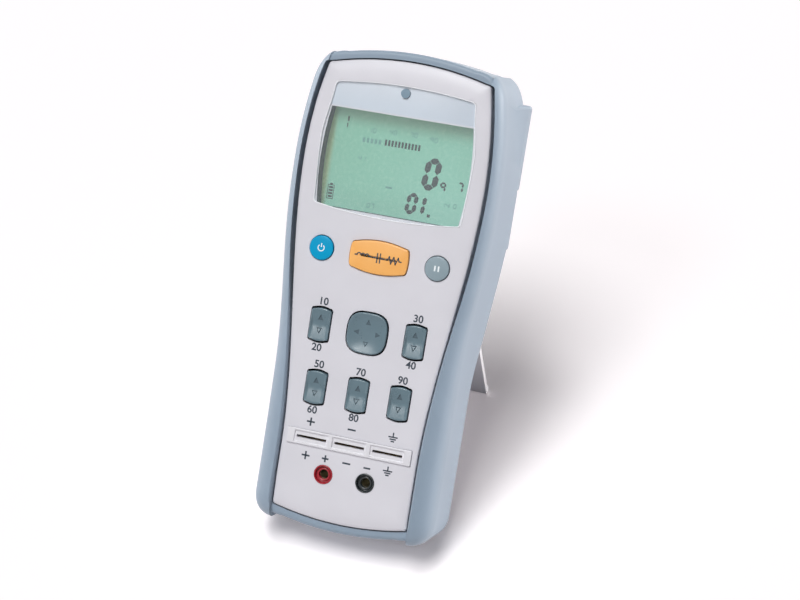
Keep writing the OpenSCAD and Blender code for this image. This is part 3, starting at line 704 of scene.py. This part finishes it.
inner = round_rims(boot, 0.4, lambda p: p.z > -2.5, angle=40)
outer = round_rims(boot, 0.5, lambda p: p.z < CASE_BACK - 0.1 and abs(p.x) < 41 and 8 < p.y < 200, angle=50)
grooves = [block((-23, v, -43), (23, v + 1.3, -41.5), 0.3)
           for v in (143, 147.5, 152, 170, 174.5, 179, 183.5, 188)]
boot = combine(boot, *[("DIFFERENCE", groove) for groove in grooves])
print(inner, "front rims and", outer, "back rims rounded, and", len(grooves), "grip grooves cut")
piece("boot_dressed", boot, BOOT_SKIN, stands_for=["boot"], smooth=30)

# %% [markdown]
# ## The face
# The front half of the case is a shallow tray. Its face is flat in the middle and rolls down a
# little toward the rim, which catches a soft light. Every opening is cut through it, and each
# opening's rim is rounded. Behind it stand the screw posts and the lugs of the keys.

# %% Outlines of the openings
def window_half(v):
    return 33.3 + 1.1 * math.sin(math.pi * ease((v - 140) / 60)) - 2 * ease((v - 172) / 24)


def window_outline(inset, **counts):
    return outline(lambda v: window_half(v) - inset, 140.3 + inset, 198.2 - inset, 0.0024, 2.4, **counts)


def view_outline(grow):
    low, high = 142 - grow, 185 + grow
    right = [Vector((31.6 + grow + 6.8 * t * (1 - t), low + (high - low) * t))
             for t in (n / 24 for n in range(25))]
    right = [Vector((0, low))] + right + [Vector((0, high))]
    return right + [Vector((-p.x, p.y)) for p in reversed(right[1:-1])]


def key_outline(w, l, arch=0.05, corner=1.2, **counts):
    return outline(lambda v: w / 2, -l / 2, l / 2, arch, corner, **counts)


def test_outline(grow, **counts):
    return outline(lambda v: 11.9 + grow + 1.2 * (1 - (v / 8) ** 2), -7.1 - grow, 7.2 + grow,
                   0.013, 1.6, **counts)


def pad_outline(grow, around=72):
    angles = [2 * math.pi * n / around for n in range(around)]
    radii = [(9 + grow) / (abs(math.cos(a)) ** 3 + abs(math.sin(a)) ** 3) ** (1 / 3) for a in angles]
    return [Vector((r * math.cos(a), r * math.sin(a))) for a, r in zip(angles, radii)]


def moved(points, u, v):
    return [p + Vector((u, v)) for p in points]


SMALL = dict(ends=6, turns=6, sides=8)
STATUS_LIGHT = (0, 195)
BUTTON_ROW, ROUND_U = 124, 26
PAD_V = 91.1
JACK_U, JACK_V = 9.525, 26.9
SLOT_V, SLOT_PITCH = 41.5, 17.3
ROCKERS = {"cal_key": (-21.4, 91.1), "setup_key": (21.4, 91.1), "mode_key": (-19, 63.8),
           "frequency_key": (0, 63.8), "zero_key": (19, 63.8)}
CASE_SCREWS = ((-23.6, 15.8), (23.6, 15.8), (-30.4, 197), (30.4, 197))
BOARD_SCREWS = ((-25.8, 47.6), (25.8, 47.6), (-28, 108), (28, 108))
print("openings drawn")

# %% The front shell
roll = [(0, -18), (0, -1.2), (0.08, -0.9), (0.25, -0.62), (0.5, -0.42), (0.9, -0.28), (1.5, -0.17),
        (2.4, -0.08), (3.6, -0.02), (5, 0), (7, 0), (9.5, 0)]


def face_ring(inset, z):
    """The ends of the face roll down further than its sides."""
    points = at(z, case_outline(inset, **CASE_COUNTS))
    for p in points:
        if z > -2:
            p.z -= (1.2 * ease((p.y - 186) / 20) + 0.9 * ease((26 - p.y) / 20)) * (1 - inset / 9.5) ** 2
    return points


tray = loft([face_ring(inset, z) for inset, z in roll])
hollow = slab(case_outline(2.2, **CASE_COUNTS), -19, -2.2)
holes = [
    slab(window_outline(-0.05, ends=8, turns=6, sides=20), -1, 2), slab(view_outline(0.4), -4, -0.9),
    post(*STATUS_LIGHT, 2.3, -4, 2),
    post(-ROUND_U, BUTTON_ROW, 5.65, -4, 2, 64), post(ROUND_U, BUTTON_ROW, 5.65, -4, 2, 64),
    post(-JACK_U, JACK_V, 4.3, -4, 2), post(JACK_U, JACK_V, 4.3, -4, 2),
    slab(moved(test_outline(0.35, **SMALL), 0, BUTTON_ROW), -4, 2),
    slab(moved(pad_outline(0.5), 0, PAD_V), -4, 2),
    block((-28.3, SLOT_V - 3.5, -4), (28.3, SLOT_V + 3.5, 2)),
]
holes += [slab(moved(key_outline(9.9, 16.2, corner=1.5, **SMALL), u, v), -4, 2)
          for u, v in ROCKERS.values()]
face = combine(tray, ("DIFFERENCE", hollow), *[("DIFFERENCE", hole) for hole in holes])
rims = round_rims(face, 0.22, lambda p: p.z > -0.6, angle=50)
print(rims, "rim edges rounded on the face")

# %% Posts and lugs behind the face
BOARD_TOP = -11.4
KEY_AXLE, PAD_AXLE = -3.4, -4.2


def screw_post(u, v, bore, outer):
    """A hollow post that stands on the circuit board."""
    wall = [(bore, -3.5), (bore, BOARD_TOP), (outer, BOARD_TOP), (outer, -2.1), (bore, -2.1), (bore, -3.5)]
    return turned(wall, u, v, 32)


posts = [screw_post(u, v, 1.5, 3.2) for u, v in CASE_SCREWS]
posts += [screw_post(u, v, 1.1, 2.6) for u, v in BOARD_SCREWS]
lug_places = [(spot, 5.65, KEY_AXLE) for spot in ROCKERS.values()] + [((0, PAD_V), 11.2, PAD_AXLE)]
for (u, v), reach, z in lug_places:
    for middle in (u - reach, u + reach):
        lug = block((middle - 0.6, v - 1.8, z - 1.8), (middle + 0.6, v + 1.8, -2.1), 0.2)
        posts.append(combine(lug, ("DIFFERENCE", bar(middle - 2, middle + 2, v, z, 0.95, 24))))
piece("front_shell_dressed", merged([face] + posts), CASE_SKIN, stands_for=["front_shell"], smooth=28)

# %% [markdown]
# ## The window
# A clear acrylic plate lies flush in the face. Its back is printed: a pale blue-grey panel above
# the display and a plain border around it. The panel is also painted darker toward its right, as
# painted shade. The print is a thin sheet of its own right behind the plate, with the display's
# opening cut out of it, so that it is seen through the acrylic. A rim frames the plate, painted
# paler than the face as a painted highlight along its bevel. Its loft goes up, over and down again
# without caps, and bridge_loops joins its two open ends into a closed ring.

# %% Window plate and its print
plate_rings = [(0.47, -0.9), (0.47, -0.3), (0.55, -0.12), (0.71, -0.04), (0.95, -0.02)]
plate_counts = dict(ends=8, turns=8, sides=24)
window = loft([at(z, window_outline(inset, **plate_counts)) for inset, z in plate_rings])
window = combine(window, ("DIFFERENCE", post(*STATUS_LIGHT, 2.1, -2, 2)))
piece("window_plate", window, acrylic, stands_for=["window_lens"], smooth=40)

edge_rings = [(0.0, -0.9), (0.0, 0.04), (0.07, 0.12), (0.2, 0.16), (0.33, 0.12), (0.42, 0.02), (0.45, -0.9)]
edge = loft([at(z, window_outline(inset, **plate_counts)) for inset, z in edge_rings], caps=(False, False))
bmesh.ops.bridge_loops(edge, edges=[e for e in edge.edges if e.is_boundary])
bmesh.ops.recalc_face_normals(edge, faces=edge.faces)
piece("window_rim", edge, RIM_HIGHLIGHT_SKIN)

sheet = slab(window_outline(0.02, **plate_counts), -0.99, -0.93)
sheet = combine(sheet, ("DIFFERENCE", slab(view_outline(0), -2, 0)),
                ("DIFFERENCE", post(*STATUS_LIGHT, 2.1, -2, 2)))
piece("window_print", sheet, head_print_and_shade)

# %% [markdown]
# ## The display
# Digits on such a display are made of bars with slanted ends. Each bar is a flat six-cornered
# plate that lies just in front of the cell. Bars that are switched off still show faintly. The
# read-out here is plain numbers, with a graduated scale along the top and a battery gauge.

# %% Seven-bar digits
BARS = {
    "top": ((0, 1), (1, 1)), "middle": ((0, 0.5), (1, 0.5)), "bottom": ((0, 0), (1, 0)),
    "upper left": ((0, 0.5), (0, 1)), "upper right": ((1, 0.5), (1, 1)),
    "lower left": ((0, 0), (0, 0.5)), "lower right": ((1, 0), (1, 0.5)),
}
DIGITS = {
    "0": ("top", "bottom", "upper left", "upper right", "lower left", "lower right"),
    "1": ("upper right", "lower right"),
    "4": ("upper left", "middle", "upper right", "lower right"),
    "7": ("top", "upper right", "lower right"),
    "9": ("top", "middle", "upper left", "upper right", "lower right"),
}
INK_LEVELS = (-7.39, -7.35)


def digit(shown, u, v, wide, tall, thick, slant=0.1):
    plates = []
    for name in DIGITS[shown]:
        (a, b), (c, d) = BARS[name]
        start = Vector((a * (wide - thick) + thick / 2, b * (tall - thick) + thick / 2))
        stop = Vector((c * (wide - thick) + thick / 2, d * (tall - thick) + thick / 2))
        along = (stop - start).normalized()
        across = Vector((-along.y, along.x))
        start, stop = start + along * 0.05 * thick, stop - along * 0.05 * thick
        half = thick / 2
        corners = [start, start + along * half - across * half, stop - along * half - across * half, stop,
                   stop - along * half + across * half, start + along * half + across * half]
        plates.append(slab([Vector((u + p.x + slant * p.y, v + p.y)) for p in corners], *INK_LEVELS))
    return plates


def mark(u0, v0, u1, v1):
    return block((u0, v0, INK_LEVELS[0]), (u1, v1, INK_LEVELS[1]))


# The read-out, its point, the bar scale, two small signs and the battery gauge
lit = digit("0", 10.8, 155.7, 7.2, 14.0, 2.6) + digit("0", 5.4, 144.3, 5.0, 9.3, 1.8)
lit += digit("1", 9.2, 144.3, 5.0, 9.3, 1.8) + [mark(15.9, 144.3, 17.2, 145.6)]
lit += digit("9", 19.4, 156.0, 2.7, 4.3, 0.85, 0.05) + digit("7", 27.0, 157.0, 2.7, 4.5, 0.85, 0.05)
lit += [mark(-7.6 + 1.5 * n, 171.6, -6.7 + 1.5 * n, 174.2) for n in range(11)]
lit += [mark(-25.6, 179.4, -24.9, 181.6), mark(-25.6, 176.8, -25.1, 178.6)]
lit += [mark(-29.9, 144.9, -29.6, 151.2), mark(-27.2, 144.9, -26.9, 151.2), mark(-29.9, 144.9, -26.9, 145.2),
        mark(-29.9, 150.9, -26.9, 151.2), mark(-29.0, 151.2, -27.8, 151.8)]
lit += [mark(-29.3, 145.6 + 1.32 * n, -27.5, 146.5 + 1.32 * n) for n in range(4)]
piece("lit_segments", merged(lit), SEGMENT_INK)
resting = [mark(-24 + 1.5 * n, 179.6, -23.8 + 1.5 * n, 180.6 if n % 5 else 181.6) for n in range(34)]
resting += [mark(-24, 179.2, 26, 179.4)]
piece("resting_segments", merged(resting), GHOST_INK)
faint = []
for number, u, v in (("10", -15.6, 176.0), ("40", -6.4, 176.6), ("70", 2.8, 176.9), ("90", 12, 176.2),
                     ("07", -11.4, 143.9), ("14", 21.6, 149.6), ("0", 26.6, 149.8), ("41", -18.4, 163.4)):
    for n, figure in enumerate(number):
        faint += digit(figure, u + 1.9 * n, v, 1.5, 2.2, 0.36, 0.08)
faint += [mark(-17.6 + 1.8 * n, 171.6, -16.5 + 1.8 * n, 173.6) for n in range(5)]
faint += [mark(-4.2, 153.6, -1.2, 154.4)]
piece("faint_segments", merged(faint), FAINT_INK)

# %% [markdown]
# ## Push buttons
# A push button is turned or moulded with a gently domed top and a rounded shoulder, and a flange
# behind the face keeps it in. The power button carries the usual power mark, and the hold button
# two bars. Prints are thin plates that follow the top.

# %% Round buttons
def round_button(u):
    profile = [(0, -5), (2.4, -5), (2.4, -3.25), (6.4, -3.25), (6.4, -2.25), (5.3, -2.25),
               (5.3, 0.62), (5.24, 0.78), (5.1, 0.9), (4.9, 0.97), (4.6, 1.0), (4.2, 1.04),
               (3, 1.12), (1.5, 1.17), (0, 1.19)]
    return turned(profile, u, BUTTON_ROW)


piece("power_button_dressed", round_button(-ROUND_U), BLUE_SKIN, "power_button", ["power_button"])
piece("hold_button_dressed", round_button(ROUND_U), GREY_SKIN, "hold_button", ["hold_button"])


def arc_band(u, v, inner, outer, start, stop, low, high, steps=28):
    """Flat band along part of a circle, with angles in degrees from straight up."""
    turns = [math.radians(90 - start - (stop - start) * n / steps) for n in range(steps + 1)]
    outside = [Vector((u + outer * math.cos(a), v + outer * math.sin(a))) for a in turns]
    inside = [Vector((u + inner * math.cos(a), v + inner * math.sin(a))) for a in reversed(turns)]
    return slab(outside + inside, low, high)


power_mark = [arc_band(-ROUND_U, BUTTON_ROW, 1.15, 1.6, 38, 322, 1.0, 1.21),
              block((-ROUND_U - 0.22, 124.3, 1.0), (-ROUND_U + 0.22, 126, 1.21))]
piece("power_mark", merged(power_mark), WHITE_INK, "power_button")
hold_mark = [block((u - 0.35, 122.8, 1.0), (u + 0.35, 125.2, 1.2)) for u in (25.2, 26.8)]
piece("hold_mark", merged(hold_mark), WHITE_INK, "hold_button")

# %% The wide button
wide_counts = dict(ends=10, turns=8, sides=14)
wide_rings = [(-1.1, -3.25), (-1.1, -2.25), (0, -2.25), (0, 0.7), (0.06, 0.88), (0.2, 1.02), (0.45, 1.1),
              (0.9, 1.13), (1.6, 1.19), (2.8, 1.27), (4.2, 1.33), (5.6, 1.36)]
wide = loft([at(z, moved(test_outline(-inset, **wide_counts), 0, BUTTON_ROW)) for inset, z in wide_rings])
piece("test_button_dressed", merged([wide, post(0, BUTTON_ROW, 2.8, -5, -3.2)]), ORANGE_SKIN, "test_button",
      ["test_button"])

# %% [markdown]
# ## Rocker keys and the four-way pad
# Each rocker key sinks toward its middle from both ends, so that a finger finds its two ends, and
# the pad is a shallow bowl. Rings run up the skirt, over the rim and inward across the dished top,
# and a function gives the height of the dish at each point. Arrows are sunk into the top: a solid
# one at the upper end and a hollow one at the lower end. A darker plate lies at the bottom of each.

# %% Dished keys
KEY_TOP, KEY_SHOULDER = 1.0, 0.58
KEY_EDGE = ((0.05, 0.17), (0.16, 0.3), (0.32, 0.4))


def dished(points_of, dish, skirt):
    """Rings up the skirt and over the rim, then inward across the dished top."""
    rings = [at(skirt, points_of(0)), at(KEY_SHOULDER, points_of(0))]
    rings += [at(KEY_SHOULDER + up, points_of(-inset)) for inset, up in KEY_EDGE]
    rim = points_of(-0.5)
    for share in (1.0, 0.93, 0.86, 0.76, 0.64, 0.5, 0.36, 0.22, 0.1):
        rings.append([Vector((p.x * share, p.y * share, dish(p.x * share, p.y * share))) for p in rim])
    return loft(rings)


def rocker_dish(u, v):
    """Steep near the ends and soft in the middle, and level along the rim."""
    depth = 1.6 * (1 - math.sqrt(min(1, math.hypot(v, 1.4) / 6.8)))
    within = (1 - ease((abs(u) - 3.3) / 1.0)) * ease((7.0 - abs(v)) / 0.5)
    return KEY_TOP - depth * within


def pad_dish(u, v):
    """A bowl whose contour lines have the pad's own squarish outline."""
    away = (abs(u) ** 3 + abs(v) ** 3) ** (1 / 3) / 8.2
    return KEY_TOP - 0.95 * (1 - min(1, away) ** 3.2)


def arrow(u, v, size, direction, low, high, hollow=0.0):
    """Triangle that points along a direction given in degrees from straight up."""
    turn = Matrix.Rotation(-math.radians(direction), 2)
    shape = [Vector((0, size * 0.62)), Vector((-size / 2, -size * 0.38)), Vector((size / 2, -size * 0.38))]
    outer = slab([turn @ p + Vector((u, v)) for p in shape], low, high)
    if not hollow:
        return outer
    inner = slab([turn @ (p * (1 - hollow)) + Vector((u, v)) for p in shape], low - 0.2, high + 0.2)
    return combine(outer, ("DIFFERENCE", inner))


def rocker_outline(grow):
    return key_outline(9.05 + 2 * grow, 14.4 + 2 * grow, corner=1.2 + min(grow, 0) * 0.5,
                       ends=6, turns=6, sides=16)


for name, (u, v) in ROCKERS.items():
    top = dished(rocker_outline, rocker_dish, -2.0)
    top = combine(top, ("DIFFERENCE", arrow(0, 2.9, 2.5, 0, 0.1, 2)),
                  ("DIFFERENCE", arrow(0, -2.4, 2.7, 180, 0.0, 2, 0.45)))
    stem = block((-3.4, -6, -5), (3.4, 6, -1.9), 0.3)
    axle = bar(-6.25, 6.25, 0, KEY_AXLE, 0.9, 32)
    whole = merged([top, stem, axle])
    bmesh.ops.translate(whole, vec=(u, v, 0), verts=whole.verts)
    piece(name + "_dressed", whole, KEY_SKIN, name, [name])
    arrow_plates = merged([arrow(u, v + 2.9, 2.44, 0, 0.05, 0.2), arrow(u, v - 2.4, 2.66, 180, -0.05, 0.1, 0.43)])
    piece(name + "_arrows", arrow_plates, ARROW_DARK, name)

# %% The four-way pad
def pad_arrows(v, size, low, high, hollow):
    """Four arrows round the middle of the pad, of which the lowest is hollow."""
    return [arrow(4.6 * math.sin(math.radians(d)), v + 4.6 * math.cos(math.radians(d)), size, d, low, high,
                  hollow if d == 180 else 0) for d in (0, 90, 180, 270)]


pad = dished(lambda grow: pad_outline(grow - 0.15), pad_dish, -1.8)
pad = combine(pad, *[("DIFFERENCE", cut) for cut in pad_arrows(0, 2.3, 0.0, 2, 0.45)])
hub = post(0, 0, 4.6, -5.8, -1.7)
axle = bar(-8.2, 8.2, 0, 0, 0.9, 32)
bmesh.ops.transform(axle, verts=axle.verts, matrix=Matrix.Translation((0, 0, PAD_AXLE))
                    @ Matrix.Rotation(math.pi / 2, 4, "Z"))
pad = merged([pad, hub, axle])
bmesh.ops.translate(pad, vec=(0, PAD_V, 0), verts=pad.verts)
piece("nav_pad_dressed", pad, KEY_SKIN, "nav_pad", ["nav_pad"])
piece("nav_pad_arrows", merged(pad_arrows(PAD_V, 2.25, -0.06, 0.07, 0.43)), ARROW_DARK, "nav_pad")

# %% [markdown]
# ## Lead slots and terminals
# Bare component leads push into three narrow slots in a raised white bar, each with a shallow
# tray around it that guides the wire. Each slot takes three cuts: the tray, the slot itself and the
# wider chamber behind it. Below them stand two insulated terminals, whose collars are spun from one
# profile, with a ring groove and a recessed mouth.

# %% The slot bar and the terminals
slots = []
for u in (-SLOT_PITCH, 0, SLOT_PITCH):
    for long, wide, low, high, rounding in (
            (7.7, 2.6, 0.1, 2, 0.6), (6.75, 0.6, -10.4, 1, 0), (6.75, 1.6, -10.4, -2.2, 0)):
        slots.append(("DIFFERENCE", block((u - long, SLOT_V - wide, low), (u + long, SLOT_V + wide, high),
                                          rounding, 3)))
slot_bar = combine(block((-28.2, SLOT_V - 3.4, BOARD_TOP), (28.2, SLOT_V + 3.4, 0.9), 0.35, 3), *slots)
round_rims(slot_bar, 0.15, lambda p: p.z > 0.1, angle=50)
piece("socket_bar_dressed", slot_bar, SOCKET_SKIN, stands_for=["socket_bar"])

collar = [(2.81, -24.99), (4.2, -24.99), (4.2, 0.1), (4.14, 0.28), (4.0, 0.38), (3.85, 0.4),
          (3.7, 0.34), (3.6, 0.15), (3.5, -1.2), (3.4, -1.45), (3.15, -1.5), (2.95, -1.4),
          (2.88, -0.9), (2.8, -0.72), (2.62, -0.65), (2.4, -0.66), (2.2, -0.76), (2.12, -0.95),
          (2.12, -2.9), (2.81, -2.99), (2.81, -24.99)]
piece("red_jack_dressed", turned(collar, -JACK_U, JACK_V), RED_SKIN, stands_for=["red_jack"])
piece("black_jack_dressed", turned(collar, JACK_U, JACK_V), BLACK_SKIN, stands_for=["black_jack"])

# %% [markdown]
# ## The back of the case, the door and the kickstand
# The back half of the case shows through the boot's window. It keeps the shape of the
# construction model, so a copy of that mesh is merged and its edges are rounded. The kickstand, a
# plate with a barrel at one end and a thicker lip at the other, is made in the same way.

# %% Rounded copies of solids
def rounded_copy(node, offset, segments=2):
    bm = bmesh.new()
    bm.from_mesh(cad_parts[node].data)
    bmesh.ops.transform(bm, matrix=stance.inverted(), verts=bm.verts)
    bmesh.ops.remove_doubles(bm, verts=bm.verts, dist=1e-4)
    bmesh.ops.dissolve_limit(bm, angle_limit=math.radians(1), verts=bm.verts, edges=bm.edges)
    round_rims(bm, offset, segments=segments, angle=40)
    return bm


for node, finish, offset in (("rear_shell", CASE_SKIN, 0.2), ("battery_door", CASE_SKIN, 0.25)):
    piece(node + "_dressed", rounded_copy(node, offset), finish, stands_for=[node])

# %% The kickstand
piece("kickstand_dressed", rounded_copy("kickstand", 0.5, segments=3), STAND_SKIN, "kickstand", ["kickstand"])

# %% [markdown]
# ## Printed marks on the face
# The face carries printed marks beside the keys. Here they are plain numbers, with plus, minus
# and earth marks at the slots and terminals, and the three usual circuit symbols of a coil, a
# capacitor and a resistor on the wide button. All are plates a few hundredths of a millimetre
# thick.

# %% Numbers and signs
def numeral(text, u, v, tall=3.15):
    curve = bpy.data.curves.new("numeral", "FONT")
    curve.body, curve.size, curve.extrude, curve.offset = text, tall * 1.42, 0.03, 0.1
    curve.align_x, curve.align_y = "CENTER", "CENTER"
    thing = bpy.data.objects.new("numeral", curve)
    bpy.context.scene.collection.objects.link(thing)
    bpy.context.view_layer.update()
    mesh = bpy.data.meshes.new_from_object(thing.evaluated_get(bpy.context.evaluated_depsgraph_get()))
    bpy.data.objects.remove(thing)
    bm = bmesh.new()
    bm.from_mesh(mesh)
    bpy.data.meshes.remove(mesh)
    bmesh.ops.translate(bm, vec=(u, v, 0), verts=bm.verts)
    return bm


def stroke(a, b, wide=0.42, low=-0.03, high=0.03):
    a, b = Vector(a), Vector(b)
    along = (b - a).normalized() * wide / 2
    across = Vector((-along.y, along.x))
    return slab([a - along - across, b + along - across, b + along + across, a - along + across], low, high)


NUMBERS = {"10": (-21.4, 101.2), "20": (-21.4, 81.0), "30": (21.4, 101.2), "40": (21.4, 81.0),
           "50": (-19, 73.9), "60": (-19, 53.8), "70": (0, 73.9), "80": (0, 53.8), "90": (19, 73.9)}
face_marks = [numeral(text, u, v) for text, (u, v) in NUMBERS.items()]


def plus(u, v, half=1.45, wide=0.75):
    return [stroke((u - half, v), (u + half, v), wide), stroke((u, v - half), (u, v + half), wide)]


def minus(u, v, half=1.45, wide=0.75):
    return [stroke((u - half, v), (u + half, v), wide)]


def earth(u, v):
    lines = [stroke((u - w, v - h), (u + w, v - h), 0.6) for w, h in ((1.8, 0), (1.15, 0.95), (0.5, 1.9))]
    return lines + [stroke((u, v), (u, v + 1.7), 0.6)]


for v in (33.7, 48.6):
    face_marks += plus(-18.7, v) + minus(0, v) + earth(18.7, v + 0.5)
face_marks += plus(-9.7, 33.9, 1.15) + minus(9.4, 33.5, 1.15)
piece("face_marks", merged(face_marks), DARK_INK)

# %% Circuit symbols on the wide button
def symbol_strokes(level, wide=0.55):
    low, high = level - 0.06, level + 0.02
    lines = [((-10.4, 124), (-9.6, 124)), ((-4.2, 124), (-3.3, 124)), ((-2.3, 124), (-0.7, 124)),
             ((-0.55, 122.1), (-0.55, 125.9)), ((0.75, 122.1), (0.75, 125.9)), ((0.9, 124), (2.5, 124))]
    strokes = [stroke(a, b, wide, low, high) for a, b in lines]
    for n in range(3):
        strokes.append(arc_band(-8.7 + 1.8 * n, BUTTON_ROW, 0.63, 1.18, -90, 90, low, high, 16))
    zigzag = [(3.5, 124), (4.2, 124), (4.75, 125.5), (5.75, 122.5), (6.75, 125.5), (7.75, 122.5),
              (8.75, 125.5), (9.3, 124), (10.2, 124)]
    strokes += [stroke(a, b, wide * 0.9, low, high) for a, b in zip(zigzag, zigzag[1:])]
    return strokes


piece("button_symbols", merged(symbol_strokes(1.37)), DARK_INK, "test_button")

# %% [markdown]
# ## Floor and light
# A plain pale floor runs out of view on all sides. Five soft lamps light the object, and
# each is named after where it stands. The main, top and front lamps shine from the left, so the
# shadow falls to the right. Two low side lamps lift the boot's sides. They would draw long streaks
# over the floor, so light linking leaves the floor out of them. The floor and the surroundings show
# white to the camera, and behind metal and glass, through Light Path rays. The floor keeps the
# shadow.

# %% Floor
floor_bm = bmesh.new()
bmesh.ops.create_grid(floor_bm, x_segments=1, y_segments=1, size=4)
floor = as_object(floor_bm, "floor")
ground = Finish("pale floor", None, 0.9)
ground.plug("Base Color", (1.0, 0.965, 0.975, 1))
ground.plug("Specular IOR Level", 0.0)
rays = ground.tree.nodes.new("ShaderNodeLightPath")
seen = Number(ground, rays.outputs["Is Camera Ray"])
for ray in ("Is Glossy Ray", "Is Transmission Ray"):
    seen = seen.maths("MAXIMUM", Number(ground, rays.outputs[ray]))
ground.plug("Emission Color", (1, 0.91, 0.94, 1))
ground.plug("Emission Strength", seen * 0.19)
floor.data.materials.append(ground.material)
print("floor", list(floor.dimensions), "m")

# %% Lamps
def sun(name, from_right, from_above, strength, softness, colour=(1, 1, 1)):
    data = bpy.data.lights.new(name, "SUN")
    data.energy, data.angle, data.color = strength, math.radians(softness), colour
    lamp = bpy.data.objects.new(name, data)
    right, above = math.radians(from_right), math.radians(from_above)
    toward = Vector((math.sin(right) * math.cos(above), -math.cos(right) * math.cos(above), math.sin(above)))
    lamp.rotation_euler = toward.to_track_quat("Z", "Y").to_euler()
    bpy.context.scene.collection.objects.link(lamp)
    return lamp


sun("main light", -12, 64, 1.74, 24)
sun("top light", -40, 78, 0.74, 12)
sun("front light", -20, 43, 0.27, 11)
side_lamps = [sun("right light", 115, 2, 4.9, 40, (1, 0.97, 0.95)), sun("left light", -101, 2, 2.6, 40)]
spared = bpy.data.collections.new("not lit by the side lamps")
spared.objects.link(floor)
spared.collection_objects[0].light_linking.link_state = "EXCLUDE"
for lamp in side_lamps:
    lamp.light_linking.receiver_collection = spared
print(len(bpy.data.lights), "lamps placed")

# %% Surroundings
world = bpy.data.worlds.new("studio")
world.use_nodes = True
sky = world.node_tree
path = sky.nodes.new("ShaderNodeLightPath")
shown = path.outputs["Is Camera Ray"]
for ray in ("Is Glossy Ray", "Is Transmission Ray"):
    either = sky.nodes.new("ShaderNodeMath")
    either.operation = "MAXIMUM"
    sky.links.new(shown, either.inputs[0])
    sky.links.new(path.outputs[ray], either.inputs[1])
    shown = either.outputs[0]
level = sky.nodes.new("ShaderNodeMapRange")
level.inputs["To Min"].default_value = 0.055
level.inputs["To Max"].default_value = 1.0
sky.links.new(shown, level.inputs["Value"])
backdrop = sky.nodes["Background"]
backdrop.inputs["Color"].default_value = (1, 1, 1, 1)
sky.links.new(level.outputs[0], backdrop.inputs["Strength"])
bpy.context.scene.world = world
bpy.context.scene.view_settings.view_transform = "Standard"
print("surroundings ready")
